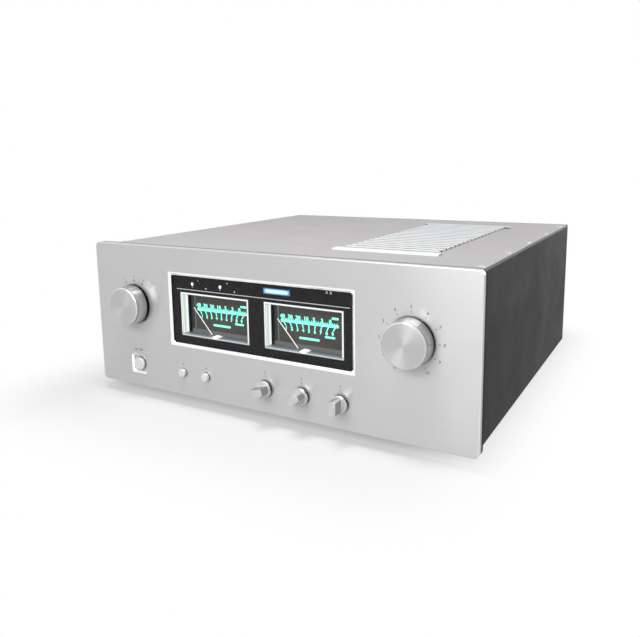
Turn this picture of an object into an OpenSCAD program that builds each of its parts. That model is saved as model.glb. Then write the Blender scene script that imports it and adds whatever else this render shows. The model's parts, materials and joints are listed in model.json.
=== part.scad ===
/* [Case] */
// Depth of the case behind the front panel
case_depth = 402; // [390:1:430]
// How far the front panel stands out past the case on each side
panel_overhang = 7; // [4:0.5:12]
// How far the cover lies below the front panel's top edge
cover_drop = 3; // [2.5:0.5:8]
// How far the front panel's lower edge lies above the base
panel_lift = 3; // [1:0.5:6]
// Thickness of the side plates
side_t = 8; // [7:0.5:12]
// Thickness of the base plate
base_t = 2; // [1.5:0.5:4]
// Thickness of the rear panel
rear_t = 2; // [1.5:0.5:4]
// Thickness of the top cover
cover_t = 3; // [2:0.5:5]
// Gap between the cover's front edge and the front panel
cover_gap = 0.5; // [0.2:0.1:2]

/* [Feet] */
// Height of the feet
foot_h = 10; // [8:0.5:20]
// Radius of the feet
foot_r = 18; // [14:0.5:22]
// Distance from the case's edges to a foot's centre
foot_inset = 48; // [40:1:70]

/* [Front panel] */
// Width of the front panel
panel_w = 430; // [425:1:450]
// Height of the front panel
panel_h = 155; // [152:1:180]
// Thickness of the bright face plate
face_t = 5; // [4.5:0.5:8]
// Thickness of the dark plate behind it
sub_t = 5; // [4:0.5:8]
// Radius of the front panel's corners
corner_r = 5; // [3:0.5:9]
// Bevel round the face plate's front edge
edge_bevel = 1.5; // [0.5:0.25:2.5]
// Height of the window and the big knobs above the panel's lower edge
upper_row = 91.2; // [88:0.2:94]
// Height of the lower row of controls above the panel's lower edge
lower_row = 25; // [22:0.5:27]

/* [Window] */
// Width of the window opening
window_w = 215; // [212:1:225]
// Height of the window opening
window_h = 77.5; // [77:0.5:84]
// Sideways place of the window's centre
window_x = -3.5; // [-6:0.5:2]
// Width of the bright bezel, seen from the front
bezel_w = 3.2; // [2.6:0.2:3.4]
// Depth of the bezel's lip in front of the glass
bezel_lip = 1.5; // [1.2:0.1:1.8]
// Wall of the bezel round the glass
bezel_wall = 1; // [0.8:0.1:1.4]
// Thickness of the window glass
glass_t = 2; // [1.5:0.1:2.2]

/* [Meters] */
// Width of a meter's lit frame
meter_w = 85; // [82:0.5:90]
// Height of a meter's lit frame
meter_h = 45; // [43:0.5:46]
// Distance between the two meters' centres
meter_pitch = 103.5; // [102:0.5:106]
// Height of the meters' centres above the panel's lower edge
meter_row = 86.4; // [86:0.2:88]
// Wall of the lit frame
frame_wall = 2; // [1.5:0.1:3]
// Height of the needle's pivot above the panel's lower edge
pivot_row = 52.2; // [51:0.2:54]
// Length of the needle from its pivot
needle_len = 52; // [46:0.5:53]
// Angle of the resting needle to the left of upright
needle_rest = 40.8; // [30:0.2:42]
// Radius of a meter's movement
movement_r = 13; // [11:0.5:14]
// Length of a meter's movement
movement_len = 18; // [12:0.5:24]

/* [Lamps] */
// Sideways place of the first indicator lamp from the window's centre
lamp_x = -78.1; // [-90:0.5:-70]
// Distance between the indicator lamps
lamp_pitch = 35.4; // [25:0.2:40]
// Height of the lamps above the panel's lower edge
lamp_row = 118.4; // [117.8:0.2:119.2]
// Radius of an indicator lamp
lamp_r = 1.5; // [1:0.1:2]
// Height of the pilot lamp above the panel's lower edge
pilot_row = 119.7; // [119.2:0.1:120.4]
// Sideways place of the pilot lamp from the window's centre
pilot_x = 23.9; // [20:0.5:40]
// Width of the pilot lamp
pilot_w = 29.6; // [20:0.5:34]
// Height of the pilot lamp
pilot_h = 5.5; // [4:0.25:6.5]

/* [Big knobs] */
// Radius of the big knobs at the panel
knob_r = 21.5; // [18:0.5:24]
// Length of the big knobs
knob_len = 16.5; // [15:0.5:24]
// Narrowing of the big knobs towards their front
knob_taper = 1.6; // [0.5:0.1:3]
// Gap between a knob and the panel
knob_gap = 1; // [0.6:0.1:2]
// Sideways place of the source selector
selector_x = -159.6; // [-165:0.5:-155]
// Sideways place of the volume knob
volume_x = 155.6; // [150:0.5:165]
// Angle clockwise from upright at which the volume knob rests
volume_rest = 26; // [-150:1:150]
// Angle clockwise from upright at which the source selector rests
selector_rest = 0; // [-28:1:28]
// Radius of the control shafts
shaft_r = 3; // [2.5:0.1:3.2]

/* [Tone knobs] */
// Radius of the tone knobs' round base
tone_r = 8.4; // [8:0.1:10]
// Length of the tone knobs
tone_len = 15; // [13:0.5:18]
// Thickness of the round base
tone_base = 4; // [3:0.5:6]
// Width of the finger vane
vane_w = 7; // [6.8:0.2:9]
// Radius of the finger vane
vane_r = 6.9; // [6:0.1:7.8]
// Sideways place of the middle tone knob
tone_x = 48; // [44:0.5:52]
// Distance between the tone knobs
tone_pitch = 40.7; // [38:0.1:44]
// Angle clockwise from upright at which the bass vane rests
bass_rest = 78; // [-150:1:150]
// Angle clockwise from upright at which the treble vane rests
treble_rest = 50; // [-150:1:150]
// Angle clockwise from upright at which the balance vane rests
balance_rest = 0; // [-150:1:150]

/* [Buttons] */
// Sideways place of the power button
power_x = -158.5; // [-162:0.5:-155]
// Radius of the power button
power_r = 7; // [6:0.25:8]
// How far the power button stands out of the panel
power_out = 1.5; // [1:0.25:4]
// Width of the square recess round the power button
recess_w = 17.5; // [17:0.5:20]
// Depth of the recess
recess_d = 2.2; // [1.5:0.1:2.5]
// Bevel round the recess
recess_bevel = 1.4; // [0.5:0.1:1.5]
// Sideways place midway between the two speaker buttons
button_x = -80.2; // [-85:0.5:-75]
// Distance between the speaker buttons
button_pitch = 30.1; // [26:0.1:36]
// Radius of a speaker button
button_r = 4.3; // [3.5:0.1:5]
// How far a speaker button stands out of the panel
button_out = 4; // [3:0.25:6]
// Travel of the buttons
button_travel = 2.5; // [1.5:0.1:3]

/* [Grille] */
// Sideways place of the grille's centre
grille_x = 97; // [90:1:105]
// Distance from the front panel's back to the grille's first bar
grille_y = 62; // [55:1:75]
// Length of the slats
slat_len = 99; // [90:1:110]
// Length of the first and last bar
bar_len = 111; // [106:1:125]
// Width of a slat
slat_w = 9.8; // [8:0.1:10.5]
// Distance from slat to slat
slat_pitch = 13.5; // [12.5:0.1:14]
// Number of slats, the two end bars among them
slat_n = 20; // [16:1:21]
// How far the slats stand above the cover
slat_h = 2; // [1:0.25:2.5]
// How far the slats' ends lie on the cover
slat_seat = 6; // [3:0.5:10]

/* [Inside] */
// Outer radius of the mains transformer
transformer_r = 62; // [50:1:66]
// Height of the mains transformer
transformer_h = 60; // [40:1:75]
// Radius of the transformer's potted middle
core_r = 18; // [14:1:24]
// Sideways place of the transformer
transformer_x = -108; // [-115:1:-95]
// Distance from the front panel's back to the transformer's centre
transformer_y = 130; // [120:1:140]
// Width of the heat sink
sink_w = 88; // [70:1:92]
// Length of the heat sink
sink_len = 226; // [200:2:250]
// Height of the heat sink
sink_h = 118; // [90:1:124]
// Thickness of the heat sink's wall
sink_wall = 8; // [6:0.5:10]
// Thickness of a heat sink fin
fin_t = 2.5; // [2:0.25:4]
// Distance from fin to fin
fin_pitch = 14; // [10:0.5:20]
// Radius of a filter capacitor
cap_r = 17.5; // [12:0.5:19]
// Height of a filter capacitor
cap_h = 68; // [40:1:90]
// Distance between capacitors
cap_pitch = 42; // [40:1:48]
// Length of the spacers that carry the circuit boards
spacer_len = 9; // [8:0.5:14]

/* [Rear] */
// Sideways place midway between the speaker terminals
terminal_x = 12; // [0:1:20]
// Distance between speaker terminals
terminal_pitch = 32; // [28:1:36]
// Height of the speaker terminals above the floor
terminal_z = 62; // [50:1:80]
// Radius of a terminal's screw cap
terminal_r = 8; // [7:0.5:9]
// How far a terminal's screw cap reaches out of the rear panel
terminal_out = 20; // [19:0.5:30]
// Radius of the socket in a terminal's end
plug_r = 2; // [1.8:0.05:2.2]
// Sideways place midway between the line sockets
socket_x = 150; // [140:1:155]
// Distance between the line sockets
socket_pitch = 25; // [22:1:28]
// Height of the line sockets' lower row above the floor
socket_z = 76; // [60:1:100]
// Radius of a line socket's sleeve
socket_r = 4.2; // [4:0.1:4.5]
// Sideways place of the mains inlet
inlet_x = -160; // [-165:1:-140]
// Height of the mains inlet above the floor
inlet_z = 66; // [50:1:100]
// Width of the mains inlet's recess
inlet_w = 26; // [24:0.5:28]
// Height of the mains inlet's recess
inlet_h = 19.5; // [19:0.5:22]

/* [Fits] */
// Clearance round a piece that is set into another
fit_gap = 0.1; // [0.06:0.02:0.2]
// Clearance between a turning or sliding shaft and its bore
run_gap = 0.05; // [0.02:0.01:0.09]
// Clearance between a shaft and the knob that is pushed onto it
push_gap = 0.02; // [0.01:0.01:0.05]
// Clearance round a button in its hole
button_gap = 0.35; // [0.3:0.05:0.6]

/* [Hidden] */
$fn = 64;

// Cutters run this far past the faces that they cut
past = 1;

// Levels above the floor
base_top = foot_h + base_t;
panel_low = foot_h + panel_lift;
panel_mid = panel_low + panel_h / 2;
case_top = panel_low + panel_h - cover_drop;
wall_top = case_top - cover_t;
wall_h = wall_top - base_top;
upper_z = panel_low + upper_row;
lower_z = panel_low + lower_row;
meter_z = panel_low + meter_row;
pivot_z = panel_low + pivot_row;
lamp_z = panel_low + lamp_row;
pilot_z = panel_low + pilot_row;

// Places along the depth, counted from the face plate's front
front_t = face_t + sub_t;
full_depth = front_t + case_depth;
front_reach = knob_gap + max(knob_len, tone_len);
front_y = (front_reach - full_depth - terminal_out) / 2;
inside_y = front_y + front_t;
back_y = front_y + full_depth;
case_w = panel_w - 2 * panel_overhang;
side_x = case_w / 2 - side_t / 2;

// The layers behind the window
mask_d = bezel_lip + glass_t;
mask_t = face_t - mask_d;
pane_w = window_w - 2 * (bezel_wall + 2 * fit_gap);
pane_h = window_h - 2 * (bezel_wall + 2 * fit_gap);
lip_edge = 0.3;

// The inside of a meter
frame_seat = 2;
frame_back = front_t + frame_seat;
needle_room = 5;
dial_d = frame_back + needle_room;
dial_t = 1.2;
housing_wall = 5;
housing_floor = 2;
housing_back = dial_d + dial_t + housing_floor;
housing_top = meter_z + meter_h / 2 + housing_wall;
hub_r = 3;
hub_t = 2.5;
hub_room = 3;
well_w = meter_w - 2 * frame_wall;
well_top = meter_z + meter_h / 2 - frame_wall;
well_low = pivot_z - hub_r - hub_room;
housing_low = well_low - housing_floor;
nub_r = 3.2;
nub_len = 6;
needle_gap = 1.5;
needle_w = 0.9;
needle_t = 0.6;
needle_tail = 5;
spindle_r = 1;
spindle_in = 8;
spindle_hole_r = 2;
meter_xs = [window_x - meter_pitch / 2, window_x + meter_pitch / 2];

// Indicator lamps and the board that carries them
lamp_n = 2;
lamp_xs = [for (i = [0:lamp_n - 1]) window_x + lamp_x + i * lamp_pitch];
board_t = 1.6;
lamp_board_edge = 10;
lamp_board_h = 11;

// Turned controls: body radius and length, bushing radius
big_body_r = 15;
volume_body_len = 24;
selector_body_len = 32;
tone_body_r = 9;
tone_body_len = 14;
big_bush_r = 4.6;
tone_bush_r = 4.2;
nut_t = 2.5;
nut_wall = 3;
nut_room = 1;
thread_past = 0.5;
bush_out = nut_t + thread_past;
shaft_wall = 3;
knob_bore = 11;
tone_bore = 10;
tone_xs = [for (i = [-1:1]) tone_x + i * tone_pitch];
tone_rests = [bass_rest, treble_rest, balance_rest];

// Groove and bevel on the big knobs
knob_bevel = 1;
knob_rim = 3;
groove_w = 0.9;
groove_d = 0.5;

// Index notch in the base of every knob
index_w = 1.6;
index_d = 1.2;
index_len = 3;

// Push buttons
head_back = 4;
stem_r = 2;
stem_in = 9;
switch_len = 18;
power_switch_w = 22;
button_switch_w = 15;
button_xs = [button_x - button_pitch / 2, button_x + button_pitch / 2];
head_bevel = 0.6;
recess_r = 3;

// Screws
screw_r = 1.5;
screw_head_r = 2.8;
screw_head_h = 0.8;
screw_len = 10;
socket_key_r = 1.4;
socket_key_d = 0.6;
cover_screw_front = 21;
cover_screw_rear = 41;
cover_screw_n = 5;
edge_screw_n = 3;
edge_screw_end = 25;
stud_inset = 12;
stud_x = case_w / 2 - side_t - stud_inset;
stud_edge = 14;
stud_len = 2.5;
foot_screw_r = 2;
foot_head_r = 4;
foot_head_h = 3;
foot_floor = 4;
foot_bevel = 1;

cover_screw_step = (case_depth - cover_screw_front - cover_screw_rear) / (cover_screw_n - 1);
cover_screw_ys = [for (i = [0:cover_screw_n - 1]) inside_y + cover_screw_front + i * cover_screw_step];
base_screw_step = (case_depth - 2 * edge_screw_end) / (edge_screw_n - 1);
base_screw_ys = [for (i = [0:edge_screw_n - 1]) inside_y + edge_screw_end + i * base_screw_step];
end_screw_step = (wall_h - 2 * edge_screw_end) / (edge_screw_n - 1);
end_screw_zs = [for (i = [0:edge_screw_n - 1]) base_top + edge_screw_end + i * end_screw_step];
stud_zs = [panel_low + stud_edge, panel_low + panel_h - stud_edge];
foot_xs = [-case_w / 2 + foot_inset, case_w / 2 - foot_inset];
foot_ys = [inside_y + foot_inset, back_y - foot_inset];

// Grille and its opening in the cover
vent_w = slat_len - 2 * slat_seat;
vent_front = inside_y + grille_y + slat_w / 2;
vent_len = slat_pitch * (slat_n - 1);
rib_t = 3;
rib_n = 3;

// Heat sink, transistors and amplifier board
sink_y = vent_front + vent_len / 2;
sink_left = grille_x - sink_w / 2;
fin_n = floor((sink_len - fin_t) / fin_pitch) + 1;
fin_step = (sink_len - fin_t) / (fin_n - 1);
case_t = 5;
case_wide = 16;
case_high = 21;
transistor_n = 6;
transistor_step = 34;
transistor_z = base_top + sink_h / 2;
amp_board_len = 210;
amp_board_h = 84;
amp_board_edge = 8;
spacer_r = 3;

// Power supply board and its capacitors
supply_w = 120;
supply_len = 104;
supply_y = 292;
supply_edge = 7;
supply_z = base_top + spacer_len;
bolt_r = 4;
bolt_head_r = 7;
bolt_head_h = 5;
bolt_in = 40;
winding_round = 14;

// Rear fittings
terminal_n = 4;
collar_r = terminal_r + 1;
collar_t = 3.5;
post_r = 4;
cap_clear = 0.5;
tail_r = 5;
tail_len = 8;
plug_depth = 12;
socket_n = 3;
socket_row = 25;
socket_out = 9;
socket_hole_r = 1.6;
socket_flange_r = 6.5;
socket_flange_t = 1.5;
socket_tail = 6;
inlet_deep = 16;
inlet_wall = 2;
inlet_body_w = inlet_w + 2 * inlet_wall;
inlet_body_h = inlet_h + 2 * inlet_wall;
flange_ear = 9;
flange_rim = 3.5;
flange_w = inlet_w + 2 * flange_ear;
flange_h = inlet_h + 2 * flange_rim;
flange_t = 2;
blade_t = 2;
blade_h = 4;
blade_len = 13;
blade_x = 7;
blade_z = 2.5;
rear_round = 3;

// Puts a piece on the front plane: its Z points at the viewer and its Y points up
module at_front(x, z, depth) {
    translate([x, front_y + depth, z]) rotate([90, 0, 0]) children();
}

// Puts a piece on the rear plane: its Z points away behind the case
module at_rear(x, z, out) {
    translate([x, back_y + out, z]) rotate([-90, 0, 0]) children();
}

// Round hole through the plates of the front panel
module front_hole(x, z, r) {
    at_front(x, z, front_t + past) cylinder(h = front_t + 2 * past, r = r);
}

// Rectangular hole through the plates of the front panel
module front_slot(x, z, w, h) {
    at_front(x, z, front_t + past)
        linear_extrude(front_t + 2 * past) square([w, h], center = true);
}

// Round hole through the rear panel
module rear_hole(x, z, r) {
    at_rear(x, z, -rear_t - past) cylinder(h = rear_t + 2 * past, r = r);
}

// Outline of a rectangle with round corners
module round_rect(w, h, r) {
    square([w - 2 * r, h], center = true);
    square([w, h - 2 * r], center = true);
    for (sx = [-1, 1], sy = [-1, 1])
        translate([sx * (w / 2 - r), sy * (h / 2 - r)]) circle(r);
}

// Layer with round corners that grows outwards by b over its height b
module flare(w, h, r, b) {
    for (sx = [-1, 1], sy = [-1, 1])
        translate([sx * (w / 2 - r), sy * (h / 2 - r), 0]) cylinder(h = b, r1 = r, r2 = r + b);
    rotate([90, 0, 90]) linear_extrude(w - 2 * r, center = true)
        polygon([[-h / 2, 0], [h / 2, 0], [h / 2 + b, b], [-h / 2 - b, b]]);
    rotate([90, 0, 0]) linear_extrude(h - 2 * r, center = true)
        polygon([[-w / 2, 0], [w / 2, 0], [w / 2 + b, b], [-w / 2 - b, b]]);
}

// Plate with round corners and a bevel round its upper face
module bevel_plate(w, h, t, r, b) {
    linear_extrude(t - b) round_rect(w, h, r);
    translate([0, 0, t]) mirror([0, 0, 1]) flare(w - 2 * b, h - 2 * b, r - b, b);
}

// Socket head screw: the head stands on Z = 0 and the shank runs down
module screw(shank) {
    difference() {
        cylinder(h = screw_head_h, r = screw_head_r);
        translate([0, 0, screw_head_h - socket_key_d])
            cylinder(h = socket_key_d + past, r = socket_key_r, $fn = 6);
    }
    translate([0, 0, -shank]) cylinder(h = shank, r = screw_r);
}

// Disc with a bevelled front edge
module bevel_disc(r, h, b) {
    cylinder(h = h - b, r = r);
    translate([0, 0, h - b]) cylinder(h = b, r1 = r, r2 = r - b);
}

// Bright face plate with the window, the control holes and the power recess
module front_panel() {
    color("gainsboro") difference() {
        at_front(0, panel_mid, face_t) bevel_plate(panel_w, panel_h, face_t, corner_r, edge_bevel);
        front_slot(window_x, upper_z, window_w, window_h);
        for (x = [selector_x, volume_x]) front_hole(x, upper_z, big_bush_r + nut_wall + nut_room);
        for (x = tone_xs) front_hole(x, lower_z, tone_bush_r + nut_wall + fit_gap);
        for (x = button_xs) front_hole(x, lower_z, button_r + button_gap);
        front_hole(power_x, lower_z, power_r + button_gap);
        at_front(power_x, lower_z, recess_d) {
            linear_extrude(recess_d + past) round_rect(recess_w, recess_w, recess_r);
            translate([0, 0, recess_d - recess_bevel])
                flare(recess_w, recess_w, recess_r, recess_bevel);
        }
        for (sx = [-1, 1], z = stud_zs)
            at_front(sx * stud_x, z, face_t + past)
                cylinder(h = stud_len + past, r = screw_r + fit_gap);
    }
}

// Dark plate of the same outline that carries the controls, the meters and the case
module sub_panel() {
    color("dimgray") difference() {
        at_front(0, panel_mid, front_t) linear_extrude(sub_t) round_rect(panel_w, panel_h, corner_r);
        for (x = meter_xs)
            front_slot(x, meter_z, meter_w + 2 * fit_gap, meter_h + 2 * fit_gap);
        for (x = lamp_xs) front_hole(x, lamp_z, lamp_r + fit_gap);
        front_slot(window_x + pilot_x, pilot_z, pilot_w + 2 * fit_gap, pilot_h + 2 * fit_gap);
        for (x = [selector_x, volume_x]) front_hole(x, upper_z, big_bush_r + fit_gap);
        for (x = tone_xs) front_hole(x, lower_z, tone_bush_r + fit_gap);
        for (x = button_xs) front_hole(x, lower_z, button_r + button_gap);
        front_hole(power_x, lower_z, power_r + button_gap);
        for (sx = [-1, 1], z = stud_zs) front_hole(sx * stud_x, z, screw_r + fit_gap);
        for (sx = [-1, 1], z = end_screw_zs) {
            front_hole(sx * side_x, z, screw_r + fit_gap);
            at_front(sx * side_x, z, face_t + screw_head_h + fit_gap)
                cylinder(h = screw_head_h + fit_gap + past, r = screw_head_r + fit_gap);
        }
    }
}

// One side of the bezel: its face slopes in to the lip that holds the glass
module bezel_side(length) {
    rotate([90, 0, 90]) linear_extrude(length, center = true)
        polygon([
            [0, 0], [bezel_wall, 0], [bezel_wall, face_t - bezel_lip], [bezel_w, face_t - bezel_lip],
            [bezel_w, face_t - bezel_lip + lip_edge], [0, face_t]
        ]);
}

// Bright frame set into the window opening
module window_bezel() {
    bezel_out_w = window_w - 2 * fit_gap;
    bezel_out_h = window_h - 2 * fit_gap;
    color("white") at_front(window_x, upper_z, face_t) for (half = [0, 180]) rotate([0, 0, half]) {
        translate([0, -bezel_out_h / 2, 0]) bezel_side(bezel_out_w);
        translate([-bezel_out_w / 2, 0, 0]) rotate([0, 0, -90]) bezel_side(bezel_out_h);
    }
}

// Clear pane behind the bezel's lip
module window_glass() {
    color([0.6, 0.65, 0.65, 0.4]) at_front(window_x, upper_z, mask_d)
        linear_extrude(glass_t) square([pane_w, pane_h], center = true);
}

// Black mask behind the glass, open at the meters and lamps
module display_mask() {
    color("black") difference() {
        at_front(window_x, upper_z, face_t) linear_extrude(mask_t) square([pane_w, pane_h], center = true);
        for (x = meter_xs)
            front_slot(x, meter_z, meter_w + 2 * fit_gap, meter_h + 2 * fit_gap);
        for (x = lamp_xs) front_hole(x, lamp_z, lamp_r + fit_gap);
        front_slot(window_x + pilot_x, pilot_z, pilot_w + 2 * fit_gap, pilot_h + 2 * fit_gap);
    }
}

// Edge-lit frame that lines a meter's opening, with a round nub on its lower ledge
module meter_frame(x) {
    frame_len = frame_back - mask_d;
    color("honeydew") at_front(x, meter_z, frame_back) {
        difference() {
            linear_extrude(frame_len) square([meter_w, meter_h], center = true);
            translate([0, 0, -past]) linear_extrude(frame_len + 2 * past)
                square([well_w, meter_h - 2 * frame_wall], center = true);
        }
        translate([0, -meter_h / 2, 0]) intersection() {
            translate([0, frame_wall, 0]) cylinder(h = nub_len, r = nub_r);
            linear_extrude(nub_len) translate([-nub_r, 0]) square(2 * nub_r + frame_wall);
        }
    }
}
module meter_frame_left() { meter_frame(meter_xs[0]); }
module meter_frame_right() { meter_frame(meter_xs[1]); }

// Box behind the sub panel that holds a meter's dial and needle
module meter_housing(x) {
    color("darkslategray") difference() {
        at_front(x, (housing_top + housing_low) / 2, housing_back)
            linear_extrude(housing_back - front_t)
            square([meter_w + 2 * housing_wall, housing_top - housing_low], center = true);
        at_front(x, meter_z, frame_back) linear_extrude(frame_seat + past)
            square([meter_w + 2 * fit_gap, meter_h + 2 * fit_gap], center = true);
        at_front(x, (well_top + well_low) / 2, dial_d + dial_t)
            linear_extrude(needle_room + dial_t)
            square([well_w, well_top - well_low], center = true);
        at_front(x, pivot_z, housing_back + past)
            cylinder(h = housing_back - dial_d + past, r = spindle_hole_r);
    }
}
module meter_housing_left() { meter_housing(meter_xs[0]); }
module meter_housing_right() { meter_housing(meter_xs[1]); }

// Plate behind the needle that carries the scale
module meter_dial(x) {
    color("darkolivegreen") difference() {
        at_front(x, (well_top + well_low) / 2, dial_d + dial_t) linear_extrude(dial_t)
            square([well_w - 2 * fit_gap, well_top - well_low - 2 * fit_gap], center = true);
        at_front(x, pivot_z, dial_d + dial_t + past)
            cylinder(h = dial_t + 2 * past, r = spindle_hole_r);
    }
}
module meter_dial_left() { meter_dial(meter_xs[0]); }
module meter_dial_right() { meter_dial(meter_xs[1]); }

// Needle with its hub, tail and spindle, leaning to the left at rest
module meter_needle(x) {
    color("mistyrose") at_front(x, pivot_z, dial_d - needle_gap) rotate([0, 0, needle_rest]) {
        cylinder(h = hub_t, r = hub_r);
        translate([-needle_w / 2, -needle_tail, hub_t - needle_t])
            cube([needle_w, needle_len + needle_tail, needle_t]);
        translate([0, 0, dial_d - needle_gap - housing_back - spindle_in])
            cylinder(h = housing_back - dial_d + needle_gap + spindle_in, r = spindle_r);
    }
}
module meter_needle_left() { meter_needle(meter_xs[0]); }
module meter_needle_right() { meter_needle(meter_xs[1]); }

// Moving-coil drives behind the meter housings
module meter_movements() {
    color("silver") for (x = meter_xs) difference() {
        at_front(x, pivot_z, housing_back + movement_len) cylinder(h = movement_len, r = movement_r);
        at_front(x, pivot_z, housing_back + spindle_in + past)
            cylinder(h = spindle_in + 2 * past, r = spindle_r + run_gap);
    }
}

// Indicator lamps that stand on the display board and show through the mask
module indicator_lamps() {
    color("white") for (x = lamp_xs)
        at_front(x, lamp_z, front_t) cylinder(h = front_t - mask_d, r = lamp_r);
}

// Lit bar in the window's upper strip
module pilot_lamp() {
    color("royalblue") at_front(window_x + pilot_x, pilot_z, front_t)
        linear_extrude(front_t - mask_d) square([pilot_w, pilot_h], center = true);
}

// Narrow circuit board behind the lamps
module display_board() {
    left = lamp_xs[0] - lamp_board_edge;
    right = window_x + pilot_x + pilot_w / 2 + lamp_board_edge;
    color("seagreen") at_front((left + right) / 2, housing_top + lamp_board_h / 2, front_t + board_t)
        linear_extrude(board_t) square([right - left, lamp_board_h], center = true);
}

// Notch that shows where a knob of radius r points
module index_notch(r) {
    translate([-index_w / 2, r - index_d, -past]) cube([index_w, index_d + past, index_len + past]);
}

// Turned knob with a groove behind its bevelled rim
module big_knob(x, rest) {
    front_r = knob_r - knob_taper;
    rim_h = knob_len - knob_rim;
    color("silver") at_front(x, upper_z, -knob_gap) rotate([0, 0, -rest]) difference() {
        rotate_extrude() polygon([
            [0, 0], [knob_r, 0], [front_r, rim_h], [front_r - groove_d, rim_h],
            [front_r - groove_d, rim_h + groove_w], [front_r, rim_h + groove_w],
            [front_r, knob_len - knob_bevel], [front_r - knob_bevel, knob_len], [0, knob_len]
        ]);
        translate([0, 0, -past]) cylinder(h = knob_bore + past, r = shaft_r + push_gap);
        index_notch(knob_r);
    }
}
module selector_knob() { big_knob(selector_x, selector_rest); }
module volume_knob() { big_knob(volume_x, volume_rest); }

// Round base with a finger vane, turned to the angle where it rests
module tone_knob(i) {
    vane_len = tone_len - tone_base;
    color("silver") at_front(tone_xs[i], lower_z, -knob_gap) rotate([0, 0, -tone_rests[i]])
        difference() {
            union() {
                bevel_disc(tone_r, tone_base, head_bevel);
                translate([0, 0, tone_base]) intersection() {
                    bevel_disc(vane_r, vane_len, head_bevel);
                    translate([-vane_w / 2, -vane_r, 0]) cube([vane_w, 2 * vane_r, vane_len]);
                }
            }
            translate([0, 0, -past]) cylinder(h = tone_bore + past, r = shaft_r + push_gap);
            index_notch(tone_r);
        }
}
module bass_knob() { tone_knob(0); }
module treble_knob() { tone_knob(1); }
module balance_knob() { tone_knob(2); }

// Shaft from inside a knob to the end of its bore in the control's body
module control_shaft(x, z, body_len, knob_in) {
    reach = front_t + body_len - shaft_wall - fit_gap;
    color("lightsteelblue") at_front(x, z, reach)
        cylinder(h = reach + knob_gap + knob_in - fit_gap, r = shaft_r);
}
module selector_shaft() { control_shaft(selector_x, upper_z, selector_body_len, knob_bore); }
module volume_shaft() { control_shaft(volume_x, upper_z, volume_body_len, knob_bore); }
module bass_shaft() { control_shaft(tone_xs[0], lower_z, tone_body_len, tone_bore); }
module treble_shaft() { control_shaft(tone_xs[1], lower_z, tone_body_len, tone_bore); }
module balance_shaft() { control_shaft(tone_xs[2], lower_z, tone_body_len, tone_bore); }

// Body behind the sub panel, with the bushing that guides the shaft
module control_body(x, z, body_r, body_len, bush_r) {
    bush_len = body_len + sub_t + bush_out;
    at_front(x, z, front_t + body_len) difference() {
        union() {
            cylinder(h = body_len, r = body_r);
            cylinder(h = bush_len, r = bush_r);
        }
        translate([0, 0, shaft_wall]) cylinder(h = bush_len, r = shaft_r + run_gap);
    }
}
module selector_switch() {
    color("tan") control_body(selector_x, upper_z, big_body_r, selector_body_len, big_bush_r);
}
module volume_control() {
    color("slategray") control_body(volume_x, upper_z, big_body_r, volume_body_len, big_bush_r);
}
module tone_controls() {
    color("slategray") for (x = tone_xs)
        control_body(x, lower_z, tone_body_r, tone_body_len, tone_bush_r);
}

// Hexagon nuts that hold the control bushings on the sub panel
module control_nut(x, z, bush_r) {
    at_front(x, z, face_t) difference() {
        cylinder(h = nut_t, r = bush_r + nut_wall, $fn = 6);
        translate([0, 0, -past]) cylinder(h = nut_t + 2 * past, r = bush_r + push_gap);
    }
}
module control_nuts() {
    color("gold") {
        for (x = [selector_x, volume_x]) control_nut(x, upper_z, big_bush_r);
        for (x = tone_xs) control_nut(x, lower_z, tone_bush_r);
    }
}

// Push button: a bevelled head and the stem that runs into its switch
module push_button(x, head_r, out) {
    color("silver") {
        at_front(x, lower_z, head_back) bevel_disc(head_r, head_back + out, head_bevel);
        at_front(x, lower_z, front_t + stem_in) cylinder(h = front_t + stem_in - head_back, r = stem_r);
    }
}
module power_button() { push_button(power_x, power_r, power_out); }
module speaker_button_a() { push_button(button_xs[0], button_r, button_out); }
module speaker_button_b() { push_button(button_xs[1], button_r, button_out); }

// Switch bodies on the back of the sub panel; each holds its return spring inside
module switch_body(x, w) {
    at_front(x, lower_z, front_t + switch_len) difference() {
        linear_extrude(switch_len) square(w, center = true);
        translate([0, 0, switch_len - stem_in - button_travel - past])
            cylinder(h = stem_in + button_travel + 2 * past, r = stem_r + run_gap);
    }
}
module push_switches() {
    color("midnightblue") {
        switch_body(power_x, power_switch_w);
        for (x = button_xs) switch_body(x, button_switch_w);
    }
}

// Thick side plate with tapped edges
module side_panel(side) {
    screw_hole = screw_len + past;
    color("darkslategray") difference() {
        translate([side * side_x - side_t / 2, inside_y, base_top])
            cube([side_t, case_depth - rear_t, wall_h]);
        for (y = cover_screw_ys) translate([side * side_x, y, wall_top - screw_hole])
            cylinder(h = screw_hole + past, r = screw_r + fit_gap);
        for (y = base_screw_ys) translate([side * side_x, y, base_top - past])
            cylinder(h = screw_hole + past, r = screw_r + fit_gap);
        for (z = end_screw_zs) {
            at_front(side * side_x, z, front_t + screw_hole)
                cylinder(h = screw_hole + past, r = screw_r + fit_gap);
            at_rear(side * side_x, z, -rear_t - screw_hole)
                cylinder(h = screw_hole + past, r = screw_r + fit_gap);
        }
    }
}
module side_panel_left() { side_panel(-1); }
module side_panel_right() { side_panel(1); }

// Base plate under the side plates
module base_plate() {
    color("dimgray") difference() {
        translate([-case_w / 2, inside_y, foot_h]) cube([case_w, case_depth, base_t]);
        for (sx = [-1, 1], y = base_screw_ys) translate([sx * side_x, y, foot_h - past])
            cylinder(h = base_t + 2 * past, r = screw_r + fit_gap);
        for (x = foot_xs, y = foot_ys) translate([x, y, foot_h - past])
            cylinder(h = base_t + 2 * past, r = foot_screw_r + fit_gap);
        translate([transformer_x, inside_y + transformer_y, foot_h - past])
            cylinder(h = base_t + 2 * past, r = bolt_r + fit_gap);
    }
}

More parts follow.
